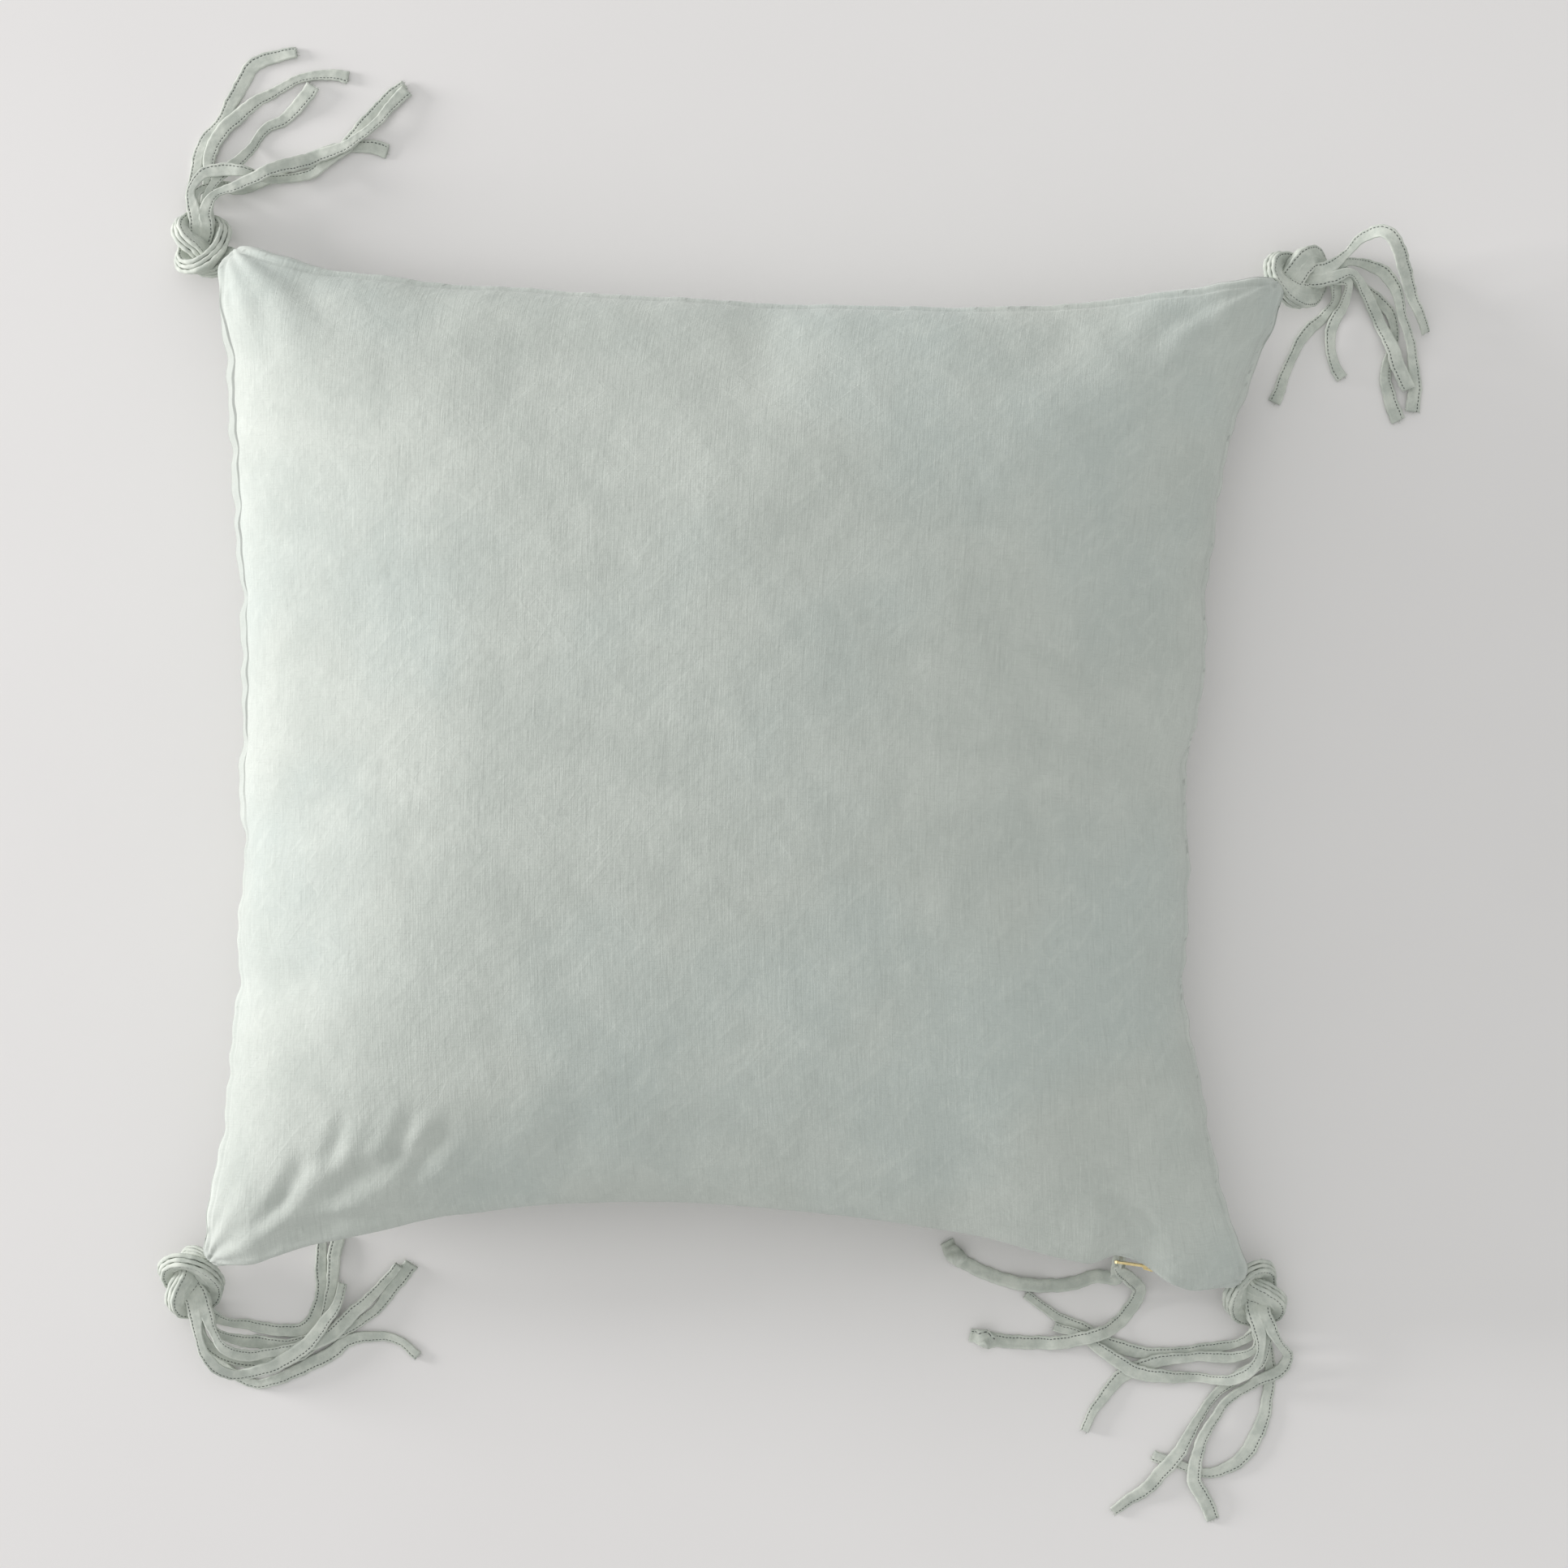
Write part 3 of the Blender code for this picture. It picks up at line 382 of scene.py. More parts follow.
def cloth_material(name, tone_a, tone_b, scale, bump=0.4):
    """A plain tight weave for tape, ticking and fibre."""
    n = Nodes(name)
    place = n.object_coords()
    warp = n.noise(n.scaled(place, (scale, scale * 0.1, scale)), 1.0, 2.0, 0.5)
    weft = n.noise(n.scaled(place, (scale * 0.1, scale, scale)), 1.0, 2.0, 0.5)
    blotch = n.noise(place, 30.0, 3.0, 0.6)
    tone = n.tint(tone_a, (n.span(warp, 0.35, 0.65), tone_b),
                  (n.span(blotch, 0.4, 0.7, 0.0, 0.3), scaled(tone_b, 0.85)))
    return n.finish(tone, n.bump(n.math("ADD", warp, weft), bump, 0.0004), Roughness=0.9, Specular_IOR_Level=0.2)


LINEN = linen_material("sage_linen", (0.530, 0.568, 0.526), (0.478, 0.517, 0.478), (0.468, 0.530, 0.503))
TIE_MAT = tie_material("sage_tie", (0.600, 0.635, 0.575), (0.475, 0.515, 0.465))
BRASS = brass_material()
TAPE_MAT = cloth_material("zip_tape_weave", (0.33, 0.38, 0.35), (0.40, 0.45, 0.42), 1500)
COTTON = cloth_material("cotton_ticking", (0.74, 0.73, 0.68), (0.82, 0.81, 0.77), 1100)
FIBRE = cloth_material("loose_fibre", (0.86, 0.86, 0.84), (0.93, 0.93, 0.91), 300, 0.9)


# ---- the cushion's shape, as part.py lays it out ----
def side(x, half, bow):
    r = (half * half + bow * bow) / (2 * bow)
    return np.sqrt(np.maximum(r * r - x * x, 0.0)) - (r - bow)


def corner_distance(u, v, sx, sy):
    return np.hypot((1 - sx * u) * HALF_X_FAR, (1 - sy * v) * HALF_Y)


def plan(u, v):
    """Where (u, v) in -1..1 lies in plan on the cover; works on arrays."""
    u, v = np.asarray(u, float), np.asarray(v, float)
    s, t = (u + 1) / 2, (v + 1) / 2
    near = np.stack([HALF_X_NEAR * u, -HALF_Y + side(HALF_X_NEAR * u, HALF_X_NEAR, BOW_NEAR)], -1)
    far = np.stack([HALF_X_FAR * u, HALF_Y - side(HALF_X_FAR * u, HALF_X_FAR, BOW_FAR)], -1)
    edge = HALF_X_NEAR + (HALF_X_FAR - HALF_X_NEAR) * t
    left = np.stack([-edge + side(HALF_Y * v, HALF_Y, BOW_LEFT), HALF_Y * v], -1)
    right = np.stack([edge - side(HALF_Y * v, HALF_Y, BOW_RIGHT), HALF_Y * v], -1)
    s, t = s[..., None], t[..., None]
    corners = ((1 - s) * (1 - t) * np.array([-HALF_X_NEAR, -HALF_Y]) + s * (1 - t) * np.array([HALF_X_NEAR, -HALF_Y])
               + (1 - s) * t * np.array([-HALF_X_FAR, HALF_Y]) + s * t * np.array([HALF_X_FAR, HALF_Y]))
    p = (1 - t) * near + t * far + (1 - s) * left + s * right - corners
    for sx in (-1, 1):
        for sy in (-1, 1):
            cut = np.clip(1 - corner_distance(u, v, sx, sy) / BLUNT_REACH, 0, 1) ** 2
            p = p - np.array([sx, sy]) * (BLUNT * cut / math.sqrt(2))[..., None]
    return p


def seam_height(u, v):
    marks, vals = [0.875, 0.94, 0.985, 1.0], [1.0, 0.65, 0.25, 0.0]
    bu, bv = np.interp(np.abs(u), marks, vals), np.interp(np.abs(v), marks, vals)
    return CORNER_Z + (SEAM_Z - CORNER_Z) * (1 - (1 - bu) * (1 - bv))


# ---- the cover: two flat squares sewn together and filled, by cloth simulation ----
FLAT = 0.762            # the cover laid flat
CELLS = 100
FRAMES = 30
SIM_SHARE = 0.42        # the simulated cloth's share of the shape; the rest is part.py's even shape


def flat_cover():
    n = CELLS + 1
    g = np.linspace(-FLAT / 2, FLAT / 2, n)
    rng = np.random.default_rng(11)
    index = {s: np.zeros((n, n), int) for s in (1, -1)}
    verts, faces = [], []
    for s in (1, -1):
        for j in range(n):
            for i in range(n):
                rim = i in (0, n - 1) or j in (0, n - 1)
                if rim and s < 0:
                    index[s][j, i] = index[1][j, i]
                    continue
                u, v = 2 * i / (n - 1) - 1, 2 * j / (n - 1) - 1
                index[s][j, i] = len(verts)
                rise = 0.0 if rim else s * (0.002 + 0.03 * (1 - u * u) * (1 - v * v))
                verts.append((g[i], g[j], rise + rng.normal(0, 0.0007)))
        faces += grid_faces(index[s], s > 0)
    return verts, faces, index


def pillow(u, v):
    """An even pillow's height, 1 in the middle and 0 at the seams."""
    return np.sqrt(np.maximum((1 - np.abs(u) ** 2.4) * (1 - np.abs(v) ** 2.4), 0))


def filled_cover():
    """The simulated grids of the front and back panels, as arrays [row, column, xyz]."""
    verts, faces, index = flat_cover()
    ob = make("cloth_work", verts, faces, LINEN)
    mod = ob.modifiers.new("cloth", "CLOTH")
    c = mod.settings
    c.quality = 6
    c.mass = 0.0009
    c.air_damping = 2.0
    c.tension_stiffness, c.compression_stiffness, c.shear_stiffness, c.bending_stiffness = 30, 14, 7, 0.12
    c.tension_damping = c.compression_damping = c.shear_damping = 8
    c.use_pressure = True
    c.uniform_pressure_force = 2.2
    c.effector_weights.gravity = 0
    mod.collision_settings.use_collision = False
    mod.point_cache.frame_end = FRAMES
    scene = bpy.context.scene
    for f in range(1, FRAMES + 1):
        scene.frame_set(f)
    done = ob.evaluated_get(bpy.context.evaluated_depsgraph_get())
    co = np.zeros(len(done.data.vertices) * 3, np.float32)
    done.data.vertices.foreach_get("co", co)
    points = co.reshape(-1, 3).astype(float)
    bpy.data.objects.remove(ob, do_unlink=True)
    scene.frame_set(1)
    return [points[index[s]] for s in (1, -1)]


def edge_curve(points):
    """A low-order curve along one simulated seam, ends kept."""
    t = np.linspace(-1, 1, len(points))
    fit = np.stack([np.polyval(np.polyfit(t, points[:, k], 8), t) for k in range(points.shape[1])], 1)
    a, b = points[0] - fit[0], points[-1] - fit[-1]
    return fit + np.outer((1 - t) / 2, a) + np.outer((1 + t) / 2, b)


def spread(edges, u, v):
    """Carry values given along four sides into the panel (near, far, left, right arrays)."""
    near, far, left, right = edges
    s, t = ((u + 1) / 2)[..., None], ((v + 1) / 2)[..., None]
    corners = ((1 - s) * (1 - t) * near[0] + s * (1 - t) * near[-1] + (1 - s) * t * far[0] + s * t * far[-1])
    return ((1 - t) * near[None, :, :] + t * far[None, :, :] + (1 - s) * left[:, None, :]
            + s * right[:, None, :] - corners)


def eased(grid, times):
    """The grid with its finest ripples taken out, its corners kept."""
    for _ in range(times):
        p = grid.copy()
        inner = (p[:-2, 1:-1] + p[2:, 1:-1] + p[1:-1, :-2] + p[1:-1, 2:]) / 4
        grid = p.copy()
        grid[1:-1, 1:-1] = 0.4 * p[1:-1, 1:-1] + 0.6 * inner
        for edge in (np.s_[0, :], np.s_[-1, :], np.s_[:, 0], np.s_[:, -1]):
            row = p[edge]
            row[1:-1] = 0.6 * row[1:-1] + 0.2 * (row[:-2] + row[2:])
            grid[edge] = row
    return grid


CROWN = THICK - 0.0035 - SEAM_Z     # the cloth's greatest height over the seam; bumps and folds are added to it
BELLY, CALM_BELLY = 0.115, 0.112    # how deep the back panel would hang under the seam without a floor
UNDERSIDE, FLATTENED = 0.0006, 0.004        # the back panel's height on the floor; how softly it turns flat there
PUCKER = {"near": 0.35, "far": 0.8, "left": 1.0, "right": 0.9}    # how much of the seam's wobble is kept


def on_floor(height):
    """Heights of the back panel, those under the floor pressed flat on it."""
    return UNDERSIDE + FLATTENED * np.log1p(np.exp(np.clip(height / FLATTENED, -40, 40)))


def placed_panels():
    """Both panels in the cushion's place: the simulated cloth laid along the CAD's seam and height."""
    front, back = filled_cover()
    n = CELLS + 1
    t = np.linspace(-1, 1, n)
    u, v = np.meshgrid(t, t)
    one = np.ones(n)
    moves = []
    for key, seam, place in (("near", front[0], plan(t, -one)), ("far", front[-1], plan(t, one)),
                             ("left", front[:, 0], plan(-one, t)), ("right", front[:, -1], plan(one, t))):
        even = edge_curve(seam)
        moves.append(np.column_stack([place, 0 * t]) - even - (1 - PUCKER[key]) * (seam - even))
    shift = spread(moves, u, v)
    front, back = front + shift, back + shift
    seam = seam_height(u, v)
    top = np.sort(front[..., 2].ravel())[-200:].mean()
    low = np.sort(-back[..., 2].ravel())[-200:].mean()
    front[..., 2] = seam + front[..., 2] * CROWN / top
    back[..., 2] = on_floor(seam + back[..., 2] * BELLY / low)
    full = pillow(u, v)
    calm_front = np.dstack([plan(u, v), seam + CROWN * full])
    calm_back = np.dstack([plan(u, v), on_floor(seam - CALM_BELLY * full)])
    return [calm * (1 - SIM_SHARE) + eased(real, 14) * SIM_SHARE
            for calm, real in ((calm_front, front), (calm_back, back))]


def cubic_rows(at, n):
    """A matrix that reads a row of n evenly spaced values (-1..1) at other places, by Catmull-Rom."""
    rows = np.zeros((len(at), n))
    for r, t in enumerate(at):
        x = (t + 1) / 2 * (n - 1)
        k = min(int(x), n - 2)
        f = x - k
        w = (-0.5 * f + f * f - 0.5 * f ** 3, 1 - 2.5 * f * f + 1.5 * f ** 3,
             0.5 * f + 2 * f * f - 1.5 * f ** 3, -0.5 * f * f + 0.5 * f ** 3)
        for m, weight in zip(range(k - 1, k + 3), w):
            if m < 0:
                rows[r, 0] += 2 * weight
                rows[r, 1] -= weight
            elif m >= n:
                rows[r, n - 1] += 2 * weight
                rows[r, n - 2] -= weight
            else:
                rows[r, m] += weight
    return rows


def read_grid(grid, rows):
    return np.stack([rows @ grid[..., k] @ rows.T for k in range(3)], -1)


def panel_lines():
    """Grid lines -1..1, close together at the seams."""
    e, found = 0.0, [0.0]
    while e < FLAT / 2 - 0.002:
        e += 0.0013 + 0.0027 * float(smooth((e - 0.012) / 0.05))
        found.append(min(e, FLAT / 2))
    found[-1] = FLAT / 2
    half = [1 - x / (FLAT / 2) for x in found]
    return np.array([-h for h in half] + half[::-1][1:])


def normals_of(p):
    du, dv = np.gradient(p, axis=1), np.gradient(p, axis=0)
    n = np.cross(du, dv)
    return n / np.maximum(np.linalg.norm(n, axis=-1, keepdims=True), 1e-12)


# dents and folds, listed one by one: middle x, y, half length, half width, direction in degrees, depth
FOLDS = [
    (0.314, 0.010, 0.013, 0.0045, 82, 0.0016),
    (-0.205, -0.268, 0.026, 0.0065, 52, 0.0022), (-0.222, -0.258, 0.022, 0.0055, 66, 0.0016),
    (-0.238, -0.282, 0.024, 0.0060, 38, 0.0020), (-0.262, -0.292, 0.026, 0.0065, 44, 0.0026),
    (-0.268, -0.262, 0.020, 0.0050, 70, 0.0014), (-0.290, -0.330, 0.026, 0.0055, 24, 0.0024),
    (-0.302, -0.296, 0.022, 0.0055, 62, 0.0020), (-0.250, -0.318, 0.024, 0.0050, 12, 0.0018),
    (-0.318, -0.318, 0.018, 0.0045, 48, 0.0016), (-0.178, -0.300, 0.022, 0.0060, 30, 0.0012),
    (-0.110, -0.262, 0.034, 0.0140, 60, 0.0018),
    (-0.321, 0.332, 0.028, 0.009, -38, 0.0010), (-0.300, 0.318, 0.030, 0.009, -55, 0.0006),
    (-0.338, 0.300, 0.026, 0.008, -72, 0.0012),
    (0.318, 0.300, 0.030, 0.009, 60, 0.0018), (0.300, 0.322, 0.030, 0.009, 35, 0.0018),
    (0.315, -0.290, 0.030, 0.008, -60, 0.0035), (0.290, -0.305, 0.026, 0.007, -30, 0.0030),
]


def fold_field(p):
    total = np.zeros(p.shape[:-1])
    for x, y, length, width, angle, depth in FOLDS:
        c, s = math.cos(math.radians(angle)), math.sin(math.radians(angle))
        dx, dy = p[..., 0] - x, p[..., 1] - y
        a, b = dx * c + dy * s, -dx * s + dy * c
        valley = np.exp(-(b / width) ** 2) - 0.45 * np.exp(-((np.abs(b) - 2.1 * width) / width) ** 2)
        total -= depth * valley * np.exp(-(a / length) ** 4)
    return total


def corner_pleats(u, v):
    """Small folds that fan out from each corner, where the cloth is gathered to the ties."""
    total = np.zeros(u.shape)
    rng = np.random.default_rng(5)
    for sx in (-1, 1):
        for sy in (-1, 1):
            a, b = (1 - sx * u) * FLAT / 2, (1 - sy * v) * FLAT / 2
            d, theta = np.hypot(a, b), np.arctan2(b, a)
            reach = smooth(d / 0.016) * smooth((0.120 - d) / 0.085)
            k = rng.uniform(13, 17)
            fan = np.sin(k * theta + rng.uniform(0, 6.28)) + 0.6 * np.sin((k * 0.62) * theta + rng.uniform(0, 6.28))
            total += 0.0006 * reach * fan
    return total


# how far each side stands out from part.py's even curve: place along the side, distance, both in metres
STAND_OUT = {
    "far": [(-0.35, 0.002), (-0.27, 0.006), (-0.14, 0.010), (0.00, 0.011), (0.08, 0.008), (0.16, 0.005),
            (0.30, 0.006)],
    "right": [(-0.30, 0.003), (-0.225, 0.002), (-0.14, -0.003), (-0.095, 0.001), (-0.05, 0.006), (-0.010, 0.002),
              (0.010, -0.001), (0.035, 0.005), (0.08, 0.008), (0.13, 0.004), (0.17, 0.0), (0.25, -0.004),
              (0.31, 0.002)],
    "near": [(-0.34, 0.004), (-0.295, 0.003), (-0.25, 0.001), (-0.20, -0.003), (-0.10, -0.004), (-0.03, -0.002),
             (0.05, 0.001), (0.14, 0.003), (0.19, 0.005), (0.23, 0.009), (0.262, 0.008), (0.275, -0.006),
             (0.295, -0.006), (0.308, 0.005), (0.335, 0.006)],
}
# how far each corner is drawn out to its knot
CORNER_PULL = {(-1, 1): (-0.004, 0.015), (1, 1): (0.009, 0.010), (-1, -1): (-0.011, -0.014), (1, -1): (0.012, -0.010)}
SEAM_SWAY = {"far": 0.0004, "left": 0.0012, "right": 0.0010}      # small waves along the seams
SLIT_HALF, SLIT_MIDDLE = 0.3225, 0.002     # the zip's opening along the near side
FRONT_LIP = 0.009       # the front panel stands up this far inside the zip before it leans out over it


def stand_out(name, along):
    places, values = zip(*STAND_OUT[name])
    fine = np.linspace(-0.40, 0.40, 161)
    row = np.interp(fine, places, values)
    for _ in range(2):
        row[1:-1] = 0.5 * row[1:-1] + 0.25 * (row[:-2] + row[2:])
    return np.interp(along, fine, row)


def sway(name, along):
    rng = np.random.default_rng(len(name) + 20)
    total = 0.0
    for length in (0.021, 0.034, 0.055, 0.090):
        total = total + np.sin(2 * math.pi * along / length + rng.uniform(0, 6.28))
    return SEAM_SWAY[name] * total / 2


def left_flange(u, v):
    """How much of the left seam's rolled edge shows at each place, 0..1; it comes and goes along the side."""
    y = v * HALF_Y
    shows = smooth((v + 0.25) / 0.25) * smooth((0.88 - v) / 0.06)
    return np.where(u < 0, shows * (0.72 + 0.28 * np.sin(y * 41 + 0.6) * np.sin(y * 97 + 2.0)), 0.0)


def outline_shift(p, u, v, top):
    """Plan moves that take part.py's even outline to this cushion's own one."""
    eu, ev = (1 - np.abs(u)) * FLAT / 2, (1 - np.abs(v)) * FLAT / 2
    x, y = p[..., 0], p[..., 1]
    dx, dy = np.zeros(u.shape), np.zeros(u.shape)
    near_seam_u, near_seam_v = 1 - smooth(eu / 0.09), 1 - smooth(ev / 0.09)
    sway_u, sway_v = 1 - smooth(eu / 0.022), 1 - smooth(ev / 0.022)
    dy += np.where(v > 0, stand_out("far", x) * near_seam_v + sway("far", x) * sway_v, 0.0)
    dx += np.where(u > 0, stand_out("right", y) * near_seam_u + sway("right", y) * sway_u, 0.0)
    dx -= np.where(u < 0, sway("left", y) * sway_u, 0.0)
    flange = left_flange(u, v)
    dx -= 0.0042 * flange * smooth((0.0052 - eu) / 0.0052)
    if top:
        lip = smooth(ev / FRONT_LIP) * (1 - smooth((ev - 0.012) / 0.075)) * smooth((0.97 - np.abs(u)) / 0.10)
        dy -= np.where(v < 0, (stand_out("near", x) + FRONT_LIP) * lip, 0.0)
    for (sx, sy), (px, py) in CORNER_PULL.items():
        pull = 1 - smooth(corner_distance(u, v, sx, sy) / 0.085)
        dx += px * pull
        dy += py * pull
    return dx, dy


def panel_mesh(name, grid, top):
    lines = panel_lines()
    m = len(lines)
    rows = cubic_rows(lines, CELLS + 1)
    p = read_grid(grid, rows)
    u, v = np.meshgrid(lines, lines)
    eu, ev = (1 - np.abs(u)) * FLAT / 2, (1 - np.abs(v)) * FLAT / 2
    edge = np.minimum(eu, ev)
    sign = 1 if top else -1
    dx, dy = outline_shift(p, u, v, top)
    p[..., 0] += dx
    p[..., 1] += dy
    away = normals_of(p) * sign
    inner = smooth(edge / 0.02)
    flatness = 1.0 if top else smooth((p[..., 2] - 0.004) / 0.02)
    bumps = corner_pleats(u, v) * (1.0 if top else 0.6)
    if top:
        bumps = bumps + fold_field(p)
    ridged = 0.5 - np.abs(waves(p, 26, 0.16, 0.045, 3 if top else 4, 38))
    lumps = waves(p, 12, 0.30, 0.13, 13 if top else 14)
    bumps = bumps + inner * (0.0012 * lumps + 0.0004 * ridged + 0.00014 * waves(p, 40, 0.05, 0.016, 8 if top else 9))
    ridge = np.exp(-((edge - 0.0050) / 0.0019) ** 2) - 0.8 * np.exp(-((edge - 0.0090) / 0.0017) ** 2)
    bumps = bumps + 0.0009 * ridge * (1 + 0.7 * smooth(v / 0.3) * smooth((eu - ev) / 0.04))
    bumps = bumps - 0.0030 * left_flange(u, v) * np.exp(-((eu - 0.0066) / 0.0016) ** 2)
    p = p + away * (bumps * flatness)[..., None]
    if not top:       # the back panel swells a little past the seam before it turns under
        belly = smooth(edge / 0.014) * smooth((0.060 - edge) / 0.046) * 0.0045
        across = eu < ev
        strip = np.where(u < 0, 0.8, 1.0)
        p[..., 0] += np.where(across, np.sign(u) * belly * strip, 0.0)
        p[..., 1] += np.where(across, 0.0, np.sign(v) * belly)
        p[..., 2] = np.maximum(p[..., 2], 0.0006)
    slit = ZIP_SLIT * smooth((SLIT_HALF - np.abs(p[..., 0] - SLIT_MIDDLE)) / 0.008) + GAP / 2
    p[..., 2] += sign * np.where(v < 0, slit * np.exp(-(ev / 0.016) ** 2), GAP / 2 * np.exp(-(edge / 0.01) ** 2))
    verts = p.reshape(-1, 3)
    weave = np.stack([u * FLAT / 2, v * FLAT / 2, edge], -1).reshape(-1, 3)
    index = np.arange(m * m).reshape(m, m)
    faces = grid_faces(index, top)
    # turned hems all round, so that an edge shows its thickness
    ring = [*index[0], *index[1:, -1], *index[-1, -2::-1], *index[-2:0:-1, 0]]
    inward = -verts[ring][:, :2] / np.linalg.norm(verts[ring][:, :2], axis=1)[:, None]
    layers = [ring]
    extra, extra_weave = [], []
    for back_in, up in ((0.0009, -0.0004), (0.0016, 0.0006), (0.0030, 0.0030)):
        start = len(verts) + len(extra)
        for k, r in enumerate(ring):
            extra.append((verts[r][0] + inward[k][0] * back_in, verts[r][1] + inward[k][1] * back_in,
                          verts[r][2] + sign * up * (1.0 if back_in > 0.001 or slit.flat[r] > 0.003 else 0.0)))
            extra_weave.append(weave[r])
        layers.append(list(range(start, start + len(ring))))
    for one, two in zip(layers, layers[1:]):
        faces += ring_faces(one, two, top)
    ob = make(name, np.vstack([verts, extra]), faces, LINEN)
    point_vectors(ob, "weave", np.vstack([weave, extra_weave]))
    return ob


GRIDS = placed_panels()
for side_name, panel_grid in zip(("front", "back"), GRIDS):
    panel = panel_mesh(f"linen_{side_name}", panel_grid, side_name == "front")
    declare(panel, BODY_CUSHION, "linen", f"cover_{side_name}_panel")


def insert_piece(name, depth, mat, nodes, slot_name):
    """A closed pad lying a distance inside the cover."""
    n = 41
    t = np.linspace(-0.955, 0.955, n)
    rows = cubic_rows(t, CELLS + 1)
    layers = []
    for grid, sign in zip(GRIDS, (1, -1)):
        p = read_grid(grid, rows)
        u, v = np.meshgrid(t, t)
        p[..., 2] -= sign * depth * np.minimum(1.0, 12 * (1 - np.maximum(np.abs(u), np.abs(v))))
        p[..., :2] *= 1 - depth / 0.36
        layers.append(p)
    rim = np.zeros((n, n), bool)
    rim[0] = rim[-1] = rim[:, 0] = rim[:, -1] = True
    middle = (layers[0][..., 2] + layers[1][..., 2]) / 2
    for p in layers:
        p[..., 2] = np.where(rim, middle, p[..., 2])
    layers[1][rim] = layers[0][rim]
    # the back layer shares the rim's points with the front one
    front = np.arange(n * n).reshape(n, n)
    back = front.copy()
    back[~rim] = n * n + np.arange((~rim).sum())
    verts = [*layers[0].reshape(-1, 3), *layers[1][~rim]]
    ob = make(name, verts, grid_faces(front, True) + grid_faces(back, False), mat)
    declare(ob, BODY_CUSHION, slot_name, *nodes)


insert_piece("ticking_casing", 0.007, COTTON, ("insert_casing_front", "insert_casing_back"), "casing")
insert_piece("fibre_filling", 0.010, FIBRE, ("insert_filling",), "filling")


# ---- the zip ----
def on_arc(radial, x_along, z):
    phi = math.asin(x_along / NEAR_RADIUS)
    r = NEAR_RADIUS + radial
    return (r * math.sin(phi), NEAR_CENTRE + r * math.cos(phi), z)


def build_zip():
    start, end = ZIP_OPEN_X - 0.0095, ZIP_CLOSED_X + 0.0075
    for name, s in (("front", 1), ("back", -1)):
        rings = []
        first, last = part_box("zip_bottom_stop")[0][0] - 0.0006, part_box(f"zip_top_stop_{name}")[1][0] + 0.0006
        xs = [*np.linspace(SLIT_MIDDLE - SLIT_HALF - 0.002, first - 0.0008, 8), *np.linspace(first, last, 160),
              *np.linspace(last + 0.0008, SLIT_MIDDLE + SLIT_HALF + 0.002, 8)]
        for x in xs:
            inner = TEETH_HALF + GAP if first <= x <= last else GAP / 2      # past the stops the two tapes meet
            section = [(-0.5, inner), (-0.5, ZIP_SLIT), (4.0, ZIP_SLIT + 0.0016), (9.0, ZIP_SLIT + 0.0030),
                       (10.0, ZIP_SLIT + 0.0026), (5.0, ZIP_SLIT + 0.0010), (0.5, ZIP_SLIT - 0.0004), (0.5, inner)]
            rings.append([on_arc(CHAIN + r * TAPE, x, SEAM_Z + s * z) for r, z in section])
        m = len(section)
        faces = [(k * m + i, k * m + (i + 1) % m, (k + 1) * m + (i + 1) % m, (k + 1) * m + i)
                 for k in range(len(rings) - 1) for i in range(m)]
        faces += [tuple(range(m))[::-1], tuple((len(rings) - 1) * m + i for i in range(m))]
        tape = make(f"tape_{name}", [p for ring in rings for p in ring], faces, TAPE_MAT)
        declare(tape, BODY_CUSHION, "zip_tape", f"zip_tape_{name}")
        # separate teeth, each clamped on the tape's edge and reaching past the middle
        verts, faces = [], []
        pitch = 0.0030
        count = int((end - start) / pitch)
        for k in range(count):
            x = start + pitch * (k + 0.5 + (0.5 if s < 0 else 0.0))
            if x > end:
                continue
            outline = [(-0.0007, TEETH_HALF), (0.0007, TEETH_HALF), (0.0007, 0.0008), (0.0010, -0.0004),
                       (0.0004, -0.0010), (-0.0004, -0.0010), (-0.0010, -0.0004), (-0.0007, 0.0008)]
            base = len(verts)
            for r in (CHAIN - 0.0014, CHAIN + 0.0014):
                squeeze = 0.92
                for dx, dz in outline:
                    verts.append(on_arc(r, x + dx * squeeze, SEAM_Z + s * dz))
            m = len(outline)
            faces += [(base + i, base + (i + 1) % m, base + m + (i + 1) % m, base + m + i) for i in range(m)]
            faces += [tuple(base + i for i in range(m))[::-1], tuple(base + m + i for i in range(m))]
        teeth = make(f"teeth_{name}", verts, faces, BRASS, shade=False)
        declare(teeth, BODY_CUSHION, "brass", f"zip_teeth_{name}")
    for node in ("zip_slider", "zip_pull", "zip_top_stop_front", "zip_top_stop_back", "zip_bottom_stop"):
        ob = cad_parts[node]
        ob.data.materials.clear()
        ob.data.materials.append(BRASS)
        round_off = ob.modifiers.new("round", "BEVEL")
        round_off.width = 0.00022
        round_off.segments = 2
        round_off.limit_method = "ANGLE"
        round_off.angle_limit = math.radians(35)


build_zip()


# ---- ties ----
def curve_through(points, step):
    p = np.array(points, float)
    p = np.vstack([2 * p[0] - p[1], p, 2 * p[-1] - p[-2]])
    fine = []
    for k in range(1, len(p) - 2):
        a, b, c, d = p[k - 1], p[k], p[k + 1], p[k + 2]
        for t in np.linspace(0, 1, 16, endpoint=False):
            fine.append(0.5 * (2 * b + (c - a) * t + (2 * a - 5 * b + 4 * c - d) * t * t
                               + (3 * b - a - 3 * c + d) * t ** 3))
    fine.append(p[-2])
    fine = np.array(fine)
    s = arc_length(fine[:, :3])
    n = max(2, int(round(s[-1] / step)) + 1)
    q = np.linspace(0, s[-1], n)
    return np.stack([np.interp(q, s, fine[:, k]) for k in range(fine.shape[1])], 1)


def directions(p):
    d = np.gradient(p, axis=0)
    return d / np.linalg.norm(d, axis=1)[:, None]


